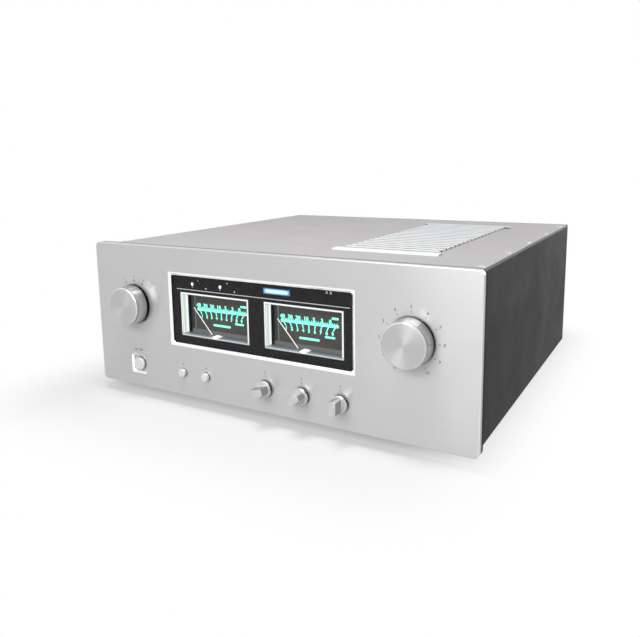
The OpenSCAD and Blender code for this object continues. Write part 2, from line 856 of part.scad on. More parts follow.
// Places of the speaker terminals and the line sockets on the rear panel
terminal_xs = [for (i = [0:terminal_n - 1]) terminal_x + (i - (terminal_n - 1) / 2) * terminal_pitch];
socket_places = [
    for (i = [0:socket_n - 1], row = [0, 1])
        [socket_x + (i - (socket_n - 1) / 2) * socket_pitch, socket_z + row * socket_row]
];

// Rear panel that closes the case between the base and the cover
module rear_panel() {
    color("dimgray") difference() {
        translate([-case_w / 2, back_y - rear_t, base_top]) cube([case_w, rear_t, wall_h]);
        for (x = terminal_xs) rear_hole(x, terminal_z, tail_r + fit_gap);
        for (p = socket_places) rear_hole(p[0], p[1], socket_r + fit_gap);
        at_rear(inlet_x, inlet_z, -rear_t - past) linear_extrude(rear_t + 2 * past)
            square([inlet_body_w + 2 * fit_gap, inlet_body_h + 2 * fit_gap], center = true);
        for (sx = [-1, 1], z = end_screw_zs) rear_hole(sx * side_x, z, screw_r + fit_gap);
    }
}

// Flat cover with the opening under the grille
module top_cover() {
    color("lightgray") difference() {
        translate([-case_w / 2, inside_y + cover_gap, wall_top])
            cube([case_w, case_depth - cover_gap, cover_t]);
        translate([grille_x - vent_w / 2, vent_front, wall_top - past])
            cube([vent_w, vent_len, cover_t + 2 * past]);
        for (sx = [-1, 1], y = cover_screw_ys) translate([sx * side_x, y, wall_top - past])
            cylinder(h = cover_t + 2 * past, r = screw_r + fit_gap);
    }
}

// Raised slats joined by ribs that hang in the cover's opening
module top_grille() {
    rib_step = (vent_w - 2 * fit_gap - rib_t) / (rib_n - 1);
    color("whitesmoke") {
        for (i = [0:slat_n - 1]) {
            long = (i == 0 || i == slat_n - 1) ? bar_len : slat_len;
            translate([grille_x - long / 2, inside_y + grille_y + i * slat_pitch, case_top])
                cube([long, slat_w, slat_h]);
        }
        for (i = [0:rib_n - 1])
            translate([grille_x - vent_w / 2 + fit_gap + i * rib_step, vent_front + fit_gap, wall_top])
                cube([rib_t, vent_len - 2 * fit_gap, cover_t]);
    }
}

// Screws of the cover, base, rear panel, sub panel and face plate
module case_screws() {
    color("silver") {
        for (sx = [-1, 1], y = cover_screw_ys)
            translate([sx * side_x, y, case_top]) screw(cover_t + screw_len);
        for (sx = [-1, 1], y = base_screw_ys)
            translate([sx * side_x, y, foot_h]) mirror([0, 0, 1]) screw(base_t + screw_len);
        for (sx = [-1, 1], z = end_screw_zs) {
            at_rear(sx * side_x, z, 0) screw(rear_t + screw_len);
            at_front(sx * side_x, z, face_t + screw_head_h + fit_gap)
                screw(sub_t - screw_head_h - fit_gap + screw_len);
        }
        for (sx = [-1, 1], z = stud_zs)
            at_front(sx * stud_x, z, front_t) mirror([0, 0, 1]) screw(sub_t + stud_len - fit_gap);
    }
}

// Round feet with a sunk screw hole
module feet() {
    color("black") for (x = foot_xs, y = foot_ys) translate([x, y, 0]) difference() {
        translate([0, 0, foot_h]) mirror([0, 0, 1]) bevel_disc(foot_r, foot_h, foot_bevel);
        translate([0, 0, -past]) cylinder(h = foot_h - foot_floor + past, r = foot_head_r + fit_gap);
        cylinder(h = foot_h + past, r = foot_screw_r + fit_gap);
    }
}

// Screws that hold the feet on the base plate
module foot_screws() {
    color("silver") for (x = foot_xs, y = foot_ys) translate([x, y, foot_h - foot_floor]) {
        translate([0, 0, -foot_head_h]) cylinder(h = foot_head_h, r = foot_head_r);
        cylinder(h = foot_floor + base_t, r = foot_screw_r);
    }
}

// Ring-shaped mains transformer with a potted middle
module transformer() {
    ring_w = transformer_r - core_r;
    color("goldenrod") translate([transformer_x, inside_y + transformer_y, base_top]) difference() {
        union() {
            rotate_extrude() translate([core_r + ring_w / 2, transformer_h / 2])
                round_rect(ring_w, transformer_h, winding_round);
            cylinder(h = transformer_h - winding_round, r = core_r + winding_round);
        }
        translate([0, 0, -past]) cylinder(h = bolt_in + past, r = bolt_r + fit_gap);
    }
}

// Bolt from under the base into the transformer
module transformer_bolt() {
    color("silver") translate([transformer_x, inside_y + transformer_y, foot_h]) {
        translate([0, 0, -bolt_head_h]) cylinder(h = bolt_head_h, r = bolt_head_r, $fn = 6);
        cylinder(h = base_t + bolt_in - fit_gap, r = bolt_r);
    }
}

// Finned heat sink under the grille
module heatsink() {
    color("black") translate([sink_left, sink_y - sink_len / 2, base_top]) {
        cube([sink_wall, sink_len, sink_h]);
        for (i = [0:fin_n - 1]) translate([0, i * fin_step, 0]) cube([sink_w, fin_t, sink_h]);
    }
}

// Output transistors clamped to the heat sink's wall
module output_transistors() {
    color("dimgray") for (i = [0:transistor_n - 1])
        translate([
            sink_left - case_t,
            sink_y + (i - (transistor_n - 1) / 2) * transistor_step - case_wide / 2,
            transistor_z - case_high / 2
        ]) cube([case_t, case_wide, case_high]);
}

// Upright circuit board beside the heat sink
module amplifier_board() {
    color("darkgreen") translate([
        sink_left - spacer_len - board_t, sink_y - amp_board_len / 2, transistor_z - amp_board_h / 2
    ]) cube([board_t, amp_board_len, amp_board_h]);
}

// Flat circuit board of the power supply
module supply_board() {
    color("darkgreen") translate([
        transformer_x - supply_w / 2, inside_y + supply_y - supply_len / 2, supply_z
    ]) cube([supply_w, supply_len, board_t]);
}

// Filter capacitors standing on the supply board
module filter_capacitors() {
    color("royalblue") for (sx = [-1, 1], sy = [-1, 1])
        translate([
            transformer_x + sx * cap_pitch / 2, inside_y + supply_y + sy * cap_pitch / 2, supply_z + board_t
        ]) bevel_disc(cap_r, cap_h, head_bevel);
}

// Spacers under the supply board and behind the amplifier board
module board_spacers() {
    color("gold") {
        for (sx = [-1, 1], sy = [-1, 1])
            translate([
                transformer_x + sx * (supply_w / 2 - supply_edge),
                inside_y + supply_y + sy * (supply_len / 2 - supply_edge),
                base_top
            ]) cylinder(h = spacer_len, r = spacer_r);
        for (sy = [-1, 1], sz = [-1, 1])
            translate([
                sink_left,
                sink_y + sy * (amp_board_len / 2 - amp_board_edge),
                transistor_z + sz * (amp_board_h / 2 - amp_board_edge)
            ]) rotate([0, -90, 0]) cylinder(h = spacer_len, r = spacer_r);
    }
}

// Fixed part of the speaker terminals: tail, collar and post with a plug socket
module speaker_terminals() {
    color("gold") for (x = terminal_xs) difference() {
        union() {
            at_rear(x, terminal_z, -rear_t - tail_len) cylinder(h = tail_len + rear_t, r = tail_r);
            at_rear(x, terminal_z, 0) cylinder(h = collar_t, r = collar_r);
            at_rear(x, terminal_z, 0) cylinder(h = terminal_out, r = post_r);
        }
        at_rear(x, terminal_z, terminal_out - plug_depth) cylinder(h = plug_depth + past, r = plug_r);
    }
}

// Screw cap that turns on a terminal's post
module terminal_cap(i) {
    color(i % 2 == 0 ? "black" : "firebrick") at_rear(terminal_xs[i], terminal_z, collar_t + cap_clear)
        difference() {
            bevel_disc(terminal_r, terminal_out - collar_t - cap_clear, head_bevel);
            translate([0, 0, -past]) cylinder(h = terminal_out + past, r = post_r + run_gap);
        }
}
module terminal_cap_1() { terminal_cap(0); }
module terminal_cap_2() { terminal_cap(1); }
module terminal_cap_3() { terminal_cap(2); }
module terminal_cap_4() { terminal_cap(3); }

// Line sockets in two rows, one row for each channel
module input_sockets() {
    color("gold") for (p = socket_places) difference() {
        union() {
            at_rear(p[0], p[1], -rear_t - socket_tail)
                cylinder(h = rear_t + socket_tail + socket_out, r = socket_r);
            at_rear(p[0], p[1], 0) cylinder(h = socket_flange_t, r = socket_flange_r);
        }
        at_rear(p[0], p[1], 0) cylinder(h = socket_out + past, r = socket_hole_r);
    }
}

// Mains inlet with its recess and three blades
module mains_inlet() {
    color("black") {
        difference() {
            union() {
                at_rear(inlet_x, inlet_z, 0)
                    linear_extrude(flange_t) round_rect(flange_w, flange_h, rear_round);
                at_rear(inlet_x, inlet_z, -inlet_deep - inlet_wall)
                    linear_extrude(inlet_deep + inlet_wall + flange_t)
                    square([inlet_body_w, inlet_body_h], center = true);
            }
            at_rear(inlet_x, inlet_z, -inlet_deep) linear_extrude(inlet_deep + flange_t + past)
                square([inlet_w, inlet_h], center = true);
        }
        for (blade = [[-blade_x, 1], [0, -1], [blade_x, 1]])
            at_rear(inlet_x + blade[0], inlet_z - blade[1] * blade_z, -inlet_deep) linear_extrude(blade_len)
                square([blade_t, blade_h], center = true);
    }
}

front_panel();
sub_panel();
window_bezel();
window_glass();
display_mask();
meter_frame_left();
meter_frame_right();
meter_housing_left();
meter_housing_right();
meter_dial_left();
meter_dial_right();
meter_needle_left();
meter_needle_right();
meter_movements();
indicator_lamps();
pilot_lamp();
display_board();
selector_knob();
volume_knob();
bass_knob();
treble_knob();
balance_knob();
selector_shaft();
volume_shaft();
bass_shaft();
treble_shaft();
balance_shaft();
selector_switch();
volume_control();
tone_controls();
control_nuts();
power_button();
speaker_button_a();
speaker_button_b();
push_switches();
side_panel_left();
side_panel_right();
base_plate();
rear_panel();
top_cover();
top_grille();
case_screws();
feet();
foot_screws();
transformer();
transformer_bolt();
heatsink();
output_transistors();
amplifier_board();
supply_board();
filter_capacitors();
board_spacers();
speaker_terminals();
terminal_cap_1();
terminal_cap_2();
terminal_cap_3();
terminal_cap_4();
input_sockets();
mains_inlet();
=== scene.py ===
"""Looks of a silver hi-fi amplifier with two lit meters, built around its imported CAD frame."""

import json
import logging
import math
from dataclasses import dataclass
from enum import Enum
from typing import Callable, Sequence

import bmesh
import bpy
from mathutils import Matrix, Vector


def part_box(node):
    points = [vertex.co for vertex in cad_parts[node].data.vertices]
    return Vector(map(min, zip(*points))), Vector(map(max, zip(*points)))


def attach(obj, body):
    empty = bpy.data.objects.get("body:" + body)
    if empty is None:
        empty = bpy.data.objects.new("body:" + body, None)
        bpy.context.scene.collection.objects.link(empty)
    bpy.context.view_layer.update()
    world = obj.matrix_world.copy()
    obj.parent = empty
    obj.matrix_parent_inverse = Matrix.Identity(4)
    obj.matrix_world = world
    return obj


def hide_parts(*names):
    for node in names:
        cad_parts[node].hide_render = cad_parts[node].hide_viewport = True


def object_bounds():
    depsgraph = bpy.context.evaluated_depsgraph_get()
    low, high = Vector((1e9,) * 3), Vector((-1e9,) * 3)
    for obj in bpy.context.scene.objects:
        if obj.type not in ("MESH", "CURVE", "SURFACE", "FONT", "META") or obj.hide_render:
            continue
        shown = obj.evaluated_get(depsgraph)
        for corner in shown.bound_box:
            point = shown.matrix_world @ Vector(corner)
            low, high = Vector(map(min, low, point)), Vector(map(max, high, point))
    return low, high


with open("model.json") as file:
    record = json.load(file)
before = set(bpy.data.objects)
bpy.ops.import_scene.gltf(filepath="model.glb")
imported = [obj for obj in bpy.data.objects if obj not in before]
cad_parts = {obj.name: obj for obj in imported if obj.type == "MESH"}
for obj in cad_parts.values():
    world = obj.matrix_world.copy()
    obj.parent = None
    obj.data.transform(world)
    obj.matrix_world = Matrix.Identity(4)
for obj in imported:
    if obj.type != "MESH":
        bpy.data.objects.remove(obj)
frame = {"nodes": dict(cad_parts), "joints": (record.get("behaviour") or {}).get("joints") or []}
CAD_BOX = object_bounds()

LOG = logging.getLogger("amplifier")
MM = 0.001
TINY = 0.02 * MM
SQUARE = 0.9
ORIGIN = (0.0, 0.0, 0.0)
LEVEL = Matrix.Identity(4)
AHEAD = Matrix.Rotation(math.pi / 2, 4, "X")
BACKWARD = Matrix.Rotation(-math.pi / 2, 4, "X")
SIDES = ("left", "right")
TONES = ("bass", "treble", "balance")
VECTOR_SOCKETS = ("Vector", "Cells", "Centre")

Colour = tuple[float, float, float]
Point = tuple[float, float, float]
Pair = tuple[float, float]
Triple = tuple[float, float, float]
Piece = bpy.types.Object
Socket = bpy.types.NodeSocket
Sockets = dict[str, Socket]
Tree = bpy.types.NodeTree
Test = Callable[[Vector, Vector], bool]
Wire = Callable[["Wiring", Sockets], Sockets]


def paint(*levels: int) -> Colour:
    """Linear colour of a paint.

    Args:
        levels: its screen values from 0 to 255; one value alone is a grey.

    Returns:
        The colour.
    """
    def light(value: int) -> float:
        """Linear light of one screen value."""
        share = value / 255
        return share / 12.92 if share < 0.04045 else ((share + 0.055) / 1.055) ** 2.4
    red, green, blue = levels * 3 if len(levels) == 1 else levels
    return light(red), light(green), light(blue)


def mm(*sizes: float) -> tuple[float, ...]:
    """Sizes in millimetres as metres."""
    return tuple(size * MM for size in sizes)


def middle(node: str) -> Vector:
    """Middle of a CAD node's box."""
    low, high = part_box(node)
    return (low + high) / 2


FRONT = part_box("front_panel")[0].y
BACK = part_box("rear_panel")[1].y


def on_face(node: str) -> Vector:
    """Point on the panel's face in front of a node's middle."""
    mid = middle(node)
    return Vector((mid.x, FRONT, mid.z))


def along_depth(a: Vector, b: Vector) -> bool:
    """Whether an edge runs along the depth."""
    return abs(a.y - b.y) > TINY


def on_front(depth: float) -> Test:
    """Test for edges that lie on a front face at that depth."""
    return lambda a, b: max(a.y, b.y) < depth + TINY


def on_top(height: float) -> Test:
    """Test for edges that lie on an upper face at that height."""
    return lambda a, b: min(a.z, b.z) > height - TINY


class Body(Enum):
    """Bodies of the CAD frame that a piece can ride on."""
    CHASSIS = "chassis"
    VOLUME = "volume"
    SELECTOR = "selector"
    BASS = "bass"
    TREBLE = "treble"
    BALANCE = "balance"
    NEEDLE_LEFT = "needle_left"
    NEEDLE_RIGHT = "needle_right"
    POWER = "power"
    SPEAKER_A = "speaker_a"
    SPEAKER_B = "speaker_b"
    CAP_1 = "cap_1"
    CAP_2 = "cap_2"
    CAP_3 = "cap_3"
    CAP_4 = "cap_4"


class Slot(Enum):
    """Material slots of the record."""
    FACE = "brushed_face"
    TURNED = "turned_metal"
    TRIM = "bright_trim"
    COVER = "cover_metal"
    SLATS = "slat_metal"
    WINDOW = "window"
    LAMP = "lamp_white"
    MASK = "mask_black"
    LIT = "lit_acrylic"
    DIAL = "dial_face"
    NEEDLE = "needle_white"
    DARK = "dark_plastic"
    CAP_RED = "cap_red"
    CAP_BLACK = "cap_black"


class Pick(Enum):
    """What is selected on a piece in edit mode."""
    FACES = "FACE"
    EDGES = "EDGE"


class Facing(Enum):
    """Side of the case that a flat mark faces, as its turn about the upright axis."""
    FRONT = 0.0
    REAR = math.pi


class Bench:
    """Hand tools: each method is one step of modelling with Blender's operators."""

    @staticmethod
    def clear() -> None:
        """Leaves edit mode and lets go of everything."""
        if bpy.context.mode != "OBJECT":
            bpy.ops.object.mode_set(mode="OBJECT")
        bpy.ops.object.select_all(action="DESELECT")

    @staticmethod
    def hold(piece: Piece) -> None:
        """Selects one piece alone and makes it active."""
        Bench.clear()
        piece.select_set(True)
        bpy.context.view_layer.objects.active = piece

    @staticmethod
    def pick(piece: Piece, kind: Pick, test: Test) -> None:
        """Goes into edit mode and selects the faces or edges that pass a test.

        Args:
            piece: the piece to work on.
            kind: faces, tested by centre and normal, or edges, tested by their two ends.
            test: says whether a face or edge is wanted.
        """
        Bench.hold(piece)
        bpy.ops.object.mode_set(mode="EDIT")
        bpy.ops.mesh.select_mode(type=kind.value)
        bpy.ops.mesh.select_all(action="DESELECT")
        cage = bmesh.from_edit_mesh(piece.data)
        if kind is Pick.FACES:
            for face in cage.faces:
                face.select_set(test(face.calc_center_median(), face.normal))
        else:
            for edge in cage.edges:
                edge.select_set(test(edge.verts[0].co, edge.verts[1].co))
        bmesh.update_edit_mesh(piece.data)

    @staticmethod
    def place(piece: Piece, spot: Sequence[float], turn: Matrix = LEVEL) -> Piece:
        """Turns and moves a piece and puts its place into its mesh.

        Args:
            piece: the piece to move.
            spot: where its origin goes.
            turn: how it is turned or stretched before that.

        Returns:
            The same piece.
        """
        Bench.hold(piece)
        piece.matrix_world = Matrix.Translation(spot) @ turn
        bpy.context.view_layer.update()
        bpy.ops.object.transform_apply(location=True, rotation=True, scale=True)
        return piece

    @staticmethod
    def block(name: str, low: Vector, high: Vector) -> Piece:
        """Rectangular block between two corners.

        Args:
            name: name of the piece.
            low: lowest corner.
            high: highest corner.

        Returns:
            The block, to be shaped further.
        """
        Bench.clear()
        bpy.ops.mesh.primitive_cube_add(size=1, location=(low + high) / 2, scale=high - low)
        piece = bpy.context.object
        piece.name = name
        bpy.ops.object.transform_apply(location=True, rotation=True, scale=True)
        return piece

    @staticmethod
    def bevel(piece: Piece, test: Test, width: float, segments: int) -> Piece:
        """Rounds the edges that pass a test.

        Args:
            piece: the piece to work on.
            test: says by its two ends whether an edge is rounded.
            width: width of the bevel in millimetres.
            segments: steps of the rounding, 1 for a flat bevel.

        Returns:
            The same piece.
        """
        Bench.pick(piece, Pick.EDGES, test)
        bpy.ops.mesh.bevel(offset=width * MM, offset_type="OFFSET", segments=segments,
                           profile=0.5, affect="EDGES")
        bpy.ops.object.mode_set(mode="OBJECT")
        return piece

    @staticmethod
    def turned(name: str, profile: Sequence[Pair], steps: int) -> Piece:
        """Turns a profile about the upright axis, as on a lathe.

        Args:
            name: name of the piece.
            profile: radius and height of each point in millimetres.
            steps: steps of the full turn.

        Returns:
            The closed, turned piece at the origin.
        """
        Bench.clear()
        bpy.ops.mesh.primitive_plane_add(size=MM)
        piece = bpy.context.object
        piece.name = name
        bpy.ops.object.mode_set(mode="EDIT")
        bpy.ops.mesh.select_mode(type="VERT")
        bpy.ops.mesh.merge(type="CENTER")
        radius, height = profile[0]
        bpy.ops.transform.translate(value=(radius * MM, 0, height * MM))
        for (r0, h0), (r1, h1) in zip(profile, profile[1:]):
            bpy.ops.mesh.extrude_vertices_move(
                TRANSFORM_OT_translate={"value": ((r1 - r0) * MM, 0, (h1 - h0) * MM)})
        bpy.ops.mesh.select_all(action="SELECT")
        bpy.ops.mesh.spin(steps=steps, angle=2 * math.pi, center=(0, 0, 0), axis=(0, 0, 1),
                          use_auto_merge=True)
        Bench.tidy()
        bpy.ops.object.mode_set(mode="OBJECT")
        return piece

    @staticmethod
    def tidy() -> None:
        """Merges doubles and turns the faces outwards on the mesh in edit mode."""
        bpy.ops.mesh.select_all(action="SELECT")
        bpy.ops.mesh.remove_doubles(threshold=1e-6)
        bpy.ops.mesh.normals_make_consistent(inside=False)

    @staticmethod
    def cut(piece: Piece, *cutters: Piece) -> Piece:
        """Cuts pieces out of another one and takes them away.

        Args:
            piece: the piece that is cut.
            cutters: the pieces that are cut out.

        Returns:
            The cut piece.
        """
        for cutter in cutters:
            Bench.hold(piece)
            modifier = piece.modifiers.new("cut", "BOOLEAN")
            modifier.operation = "DIFFERENCE"
            modifier.solver = "EXACT"
            modifier.object = cutter
            bpy.ops.object.modifier_apply(modifier=modifier.name)
            bpy.data.objects.remove(cutter)
        return piece

    @staticmethod
    def copy(piece: Piece, shift: Sequence[float]) -> Piece:
        """Copy of a piece with its own mesh, moved by a shift."""
        Bench.hold(piece)
        bpy.ops.object.duplicate(linked=False)
        return Bench.place(bpy.context.object, shift)

    @staticmethod
    def join(name: str, pieces: Sequence[Piece]) -> Piece:
        """Joins pieces into one.

        Args:
            name: name of the joined piece.
            pieces: the pieces to join, two or more.

        Returns:
            The joined piece.
        """
        Bench.hold(pieces[0])
        for piece in pieces:
            piece.select_set(True)
        bpy.ops.object.join()
        joined = bpy.context.object
        joined.name = name
        joined.data.name = name
        return joined

    @staticmethod
    def drill(radius: float, spot: Vector, turn: Matrix = AHEAD, steps: int = 64) -> Piece:
        """Round cutter that reaches through any plate.

        Args:
            radius: radius of the hole in millimetres.
            spot: middle of the hole.
            turn: turn of its axis, which is upright without it.
            steps: steps of its round.

        Returns:
            The cutter.
        """
        reach = 20.0
        rod = Bench.turned("drill", [(0, -reach), (radius, -reach), (radius, reach), (0, reach)], steps)
        return Bench.place(rod, spot, turn)

    @staticmethod
    def flared(name: str, low: Vector, high: Vector, corner: float, rise: float, grow: float) -> Piece:
        """Cutter of an opening with rounded corners that widens towards the front.

        Args:
            name: name of the cutter.
            low: lowest corner of its straight part.
            high: highest corner of its straight part.
            corner: radius of its corners in millimetres.
            rise: length of the flare in millimetres.
            grow: how far the flare widens to each side, in millimetres.

        Returns:
            The cutter.
        """
        clear = 3.0
        piece = Bench.bevel(Bench.block(name, low, high), along_depth, corner, segments=6)
        Bench.pick(piece, Pick.FACES, lambda spot, normal: normal.y < -SQUARE)
        size = high - low
        wider = (1 + 2 * grow * MM / size.x, 1, 1 + 2 * grow * MM / size.z)
        bpy.ops.mesh.extrude_region_move(TRANSFORM_OT_translate={"value": mm(0, -rise, 0)})
        bpy.ops.transform.resize(value=wider, center_override=(low + high) / 2)
        bpy.ops.mesh.extrude_region_move(TRANSFORM_OT_translate={"value": mm(0, -clear, 0)})
        bpy.ops.object.mode_set(mode="OBJECT")
        return piece

    @staticmethod
    def letters(words: str, size: float, spot: Vector, facing: Facing = Facing.FRONT,
                lift: float = 0.05, weight: float = 0.0) -> Piece:
        """Thin raised lettering on an upright plane.

        Args:
            words: generic words or numbers.
            size: type size in millimetres.
            spot: middle of the lettering on the plane that carries it.
            facing: side of the case that it faces.
            lift: how far it stands out of the plane, in millimetres.
            weight: how much bolder its strokes are on each side, in millimetres.

        Returns:
            The lettering as a mesh.
        """
        Bench.clear()
        bpy.ops.object.text_add()
        text = bpy.context.object.data
        text.body = words
        text.size = size * MM
        text.align_x = "CENTER"
        text.align_y = "CENTER"
        text.extrude = lift * MM
        text.offset = weight * MM
        text.resolution_u = 3
        bpy.ops.object.convert(target="MESH")
        return Bench.place(bpy.context.object, spot, Matrix.Rotation(facing.value, 4, "Z") @ AHEAD)

    @staticmethod
    def bar(spot: Vector, width: float, height: float, lean: float = 0.0, lift: float = 0.05) -> Piece:
        """Thin raised bar with cut corners on a plane that faces the front.

        Args:
            spot: middle of the bar on the plane that carries it.
            width: width in millimetres.
            height: height in millimetres.
            lean: lean to the right in degrees.
            lift: how far it stands out of the plane, in millimetres.

        Returns:
            The bar.
        """
        half = Vector((width, 2 * lift, height)) * MM / 2
        piece = Bench.block("bar", -half, half)
        Bench.bevel(piece, along_depth, min(width, height) * 0.25, segments=2)
        return Bench.place(piece, spot, Matrix.Rotation(math.radians(lean), 4, "Y"))

    @staticmethod
    def dot(spot: Vector, radius: float, lift: float = 0.05) -> Piece:
        """Thin raised round dot, slightly domed, on a plane that faces the front.

        Args:
            spot: middle of the dot on the plane that carries it.
            radius: radius in millimetres.
            lift: how far it stands out of the plane, in millimetres.

        Returns:
            The dot.
        """
        shape = [(0, -lift), (radius, -lift), (radius, lift * 0.4), (radius * 0.8, lift), (0, lift)]
        return Bench.place(Bench.turned("dot", shape, steps=20), spot, AHEAD)

    @staticmethod
    def hand_over(piece: Piece, body: Body, slot: Slot, finish: "Finish",
                  replaced: Sequence[str] = (), angle: float = 35.0) -> None:
        """Closes a piece, smooths it, gives it its finish and lets it ride on its body.

        Args:
            piece: the finished shape.
            body: the body that it rides on.
            slot: the record's slot for its material; not used.
            finish: the finish that it is given.
            replaced: CAD nodes that it stands for.
            angle: edges sharper than this many degrees stay sharp.
        """
        Bench.hold(piece)
        bpy.ops.object.mode_set(mode="EDIT")
        Bench.tidy()
        bpy.ops.object.mode_set(mode="OBJECT")
        bpy.ops.object.shade_smooth_by_angle(angle=math.radians(angle))
        bpy.ops.object.modifier_add(type="WEIGHTED_NORMAL")
        piece.modifiers[-1].keep_sharp = True
        bpy.ops.object.modifier_apply(modifier=piece.modifiers[-1].name)
        piece.data.materials.clear()
        piece.data.materials.append(finish.material())
        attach(piece, body.value)
        if replaced:
            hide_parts(*replaced)
        LOG.info("%s rides on %s, %d faces", piece.name, body.value, len(piece.data.polygons))


class Wiring:
    """Adds nodes to one shader tree and links them."""

    def __init__(self, tree: Tree) -> None:
        """Takes the tree that the nodes go into and the shader in it, if it has one."""
        self.tree = tree
        self.shader = tree.nodes.get("Principled BSDF")

    def node(self, kind: str, inputs: dict | None = None, **settings: object) -> bpy.types.Node:
        """Adds a shader node.

        Args:
            kind: type of the node, without the words that all of them start with.
            inputs: sockets or plain values for its inputs, by name or number.
            settings: attributes of the node.

        Returns:
            The node.
        """
        made = self.tree.nodes.new(f"ShaderNode{kind}")
        for key, value in settings.items():
            setattr(made, key, value)
        self.feed(made, inputs or {})
        return made

    def feed(self, node: bpy.types.Node, inputs: dict) -> None:
        """Links sockets to a node's inputs, or sets plain values on them.

        Args:
            node: the node that is fed.
            inputs: sockets or plain values for its inputs, by name or number.
        """
        for key, value in inputs.items():
            if isinstance(value, Socket):
                self.tree.links.new(value, node.inputs[key])
            else:
                node.inputs[key].default_value = value

    def surface(self, inputs: dict) -> None:
        """Feeds the material's own shader."""
        self.feed(self.shader, inputs)

    def relief(self, height: Socket, depth: float, strength: float = 0.3) -> None:
        """Lets a height bend the surface's normals."""
        bump = self.node("Bump", {"Height": height, "Distance": depth, "Strength": strength})
        self.surface({"Normal": bump.outputs[0]})

    @staticmethod
    def named(node: bpy.types.Node) -> Sockets:
        """A node's outputs by name."""
        return {socket.name: socket for socket in node.outputs}

    def math(self, operation: str, first: object, second: object = 0.0) -> Socket:
        """Result of a sum on one or two values."""
        return self.node("Math", {0: first, 1: second}, operation=operation).outputs[0]

    def times(self, first: object, *others: object) -> Socket:
        """Product of two or more values."""
        for other in others:
            first = self.math("MULTIPLY", first, other)
        return first

    def minus(self, first: object, second: object) -> Socket:
        """Difference of two values."""
        return self.math("SUBTRACT", first, second)

    def swing(self, value: Socket, amount: Socket, about: float = 0.5, base: object = 1.0) -> Socket:
        """Number that swings about a base as a value swings about its own middle."""
        return self.math("ADD", base, self.times(self.minus(value, about), amount))

    def vector(self, operation: str, first: object, second: object = ORIGIN) -> Socket:
        """Result of a vector sum on one or two vectors."""
        return self.node("VectorMath", {0: first, 1: second}, operation=operation).outputs["Vector"]

    def length(self, vector: Socket) -> Socket:
        """Length of a vector."""
        return self.node("VectorMath", {0: vector}, operation="LENGTH").outputs["Value"]

    def span(self, value: object, low: float, high: float, start: float = 0.0, end: float = 1.0,
             smooth: bool = False) -> Socket:
        """Maps a value's range to another one.

        Args:
            value: the socket that is mapped.
            low: value that gives start.
            high: value that gives end.
            start: result at low.
            end: result at high.
            smooth: eases in and out.

        Returns:
            The mapped value, held within start and end.
        """
        kind = "SMOOTHSTEP" if smooth else "LINEAR"
        return self.node("MapRange", {
            "Value": value, "From Min": low, "From Max": high, "To Min": start, "To Max": end,
        }, interpolation_type=kind).outputs["Result"]

    def mix(self, share: object, first: object, second: object, blend: str = "MIX") -> Socket:
        """Mix of two colours.

        Args:
            share: how much of the second colour shows.
            first: the colour below.
            second: the colour above.
            blend: how they are blended.

        Returns:
            The mixed colour.
        """
        made = self.node("Mix", {0: share}, data_type="RGBA", blend_type=blend)
        for key, value in ((6, first), (7, second)):
            self.feed(made, {key: (*value, 1) if isinstance(value, tuple) else value})
        return made.outputs[2]

    def spot(self) -> Socket:
        """Object coordinates, in metres."""
        return self.node("TexCoord").outputs["Object"]

    def axes(self, vector: Socket) -> tuple[Socket, ...]:
        """The three parts of a vector."""
        return tuple(self.node("SeparateXYZ", {0: vector}).outputs)

    def facing(self) -> tuple[Socket, ...]:
        """The three parts of the surface's direction."""
        return self.axes(self.node("TexCoord").outputs["Normal"])

    def square_to(self, axis: int) -> Socket:
        """How squarely the surface looks along an axis, forwards or backwards."""
        return self.math("ABSOLUTE", self.facing()[axis])

    def noise(self, vector: object, scale: float, detail: float) -> Socket:
        """Soft noise from 0 to 1."""
        return self.node("TexNoise", {
            "Vector": vector, "Scale": scale, "Detail": detail,
        }).outputs["Fac"]

    def effect(self, group: Callable[[], Tree], **inputs: object) -> Sockets:
        """Places a shared effect with its own values and gives its outputs by name."""
        return self.named(self.node("Group", inputs, node_tree=group()))

    def seen(self) -> Socket:
        """1 for what the camera, a reflection or clear glass shows, 0 for light that falls on the object."""
        rays = self.named(self.node("LightPath"))
        mirrored = self.math("MAXIMUM", rays["Is Glossy Ray"], rays["Is Transmission Ray"])
        return self.math("MAXIMUM", rays["Is Camera Ray"], mirrored)


def shared(inputs: str, outputs: str) -> Callable[[Wire], Callable[[], Tree]]:
    """Makes a shared effect, a shader group, out of the function that wires it.

    Args:
        inputs: names of the group's inputs.
        outputs: names of the group's outputs, which are plain numbers.

    Returns:
        What turns the wiring function into one that gives the group.
    """
    def sharing(wire: Wire) -> Callable[[], Tree]:
        """Names the group after its wiring function.

        Args:
            wire: wires the effect from the group's inputs and gives its outputs.

        Returns:
            What gives the group.
        """
        def group() -> Tree:
            """The group, built on first use.

            Returns:
                The group.
            """
            if wire.__name__ in bpy.data.node_groups:
                return bpy.data.node_groups[wire.__name__]
            tree = bpy.data.node_groups.new(wire.__name__, "ShaderNodeTree")
            for way, labels in (("INPUT", inputs), ("OUTPUT", outputs)):
                for label in labels.split():
                    kind = "NodeSocketVector" if label in VECTOR_SOCKETS else "NodeSocketFloat"
                    tree.interface.new_socket(label, in_out=way, socket_type=kind)
            wires = Wiring(tree)
            given = wires.named(tree.nodes.new("NodeGroupInput"))
            wires.feed(tree.nodes.new("NodeGroupOutput"), wire(wires, given))
            return tree
        return group
    return sharing


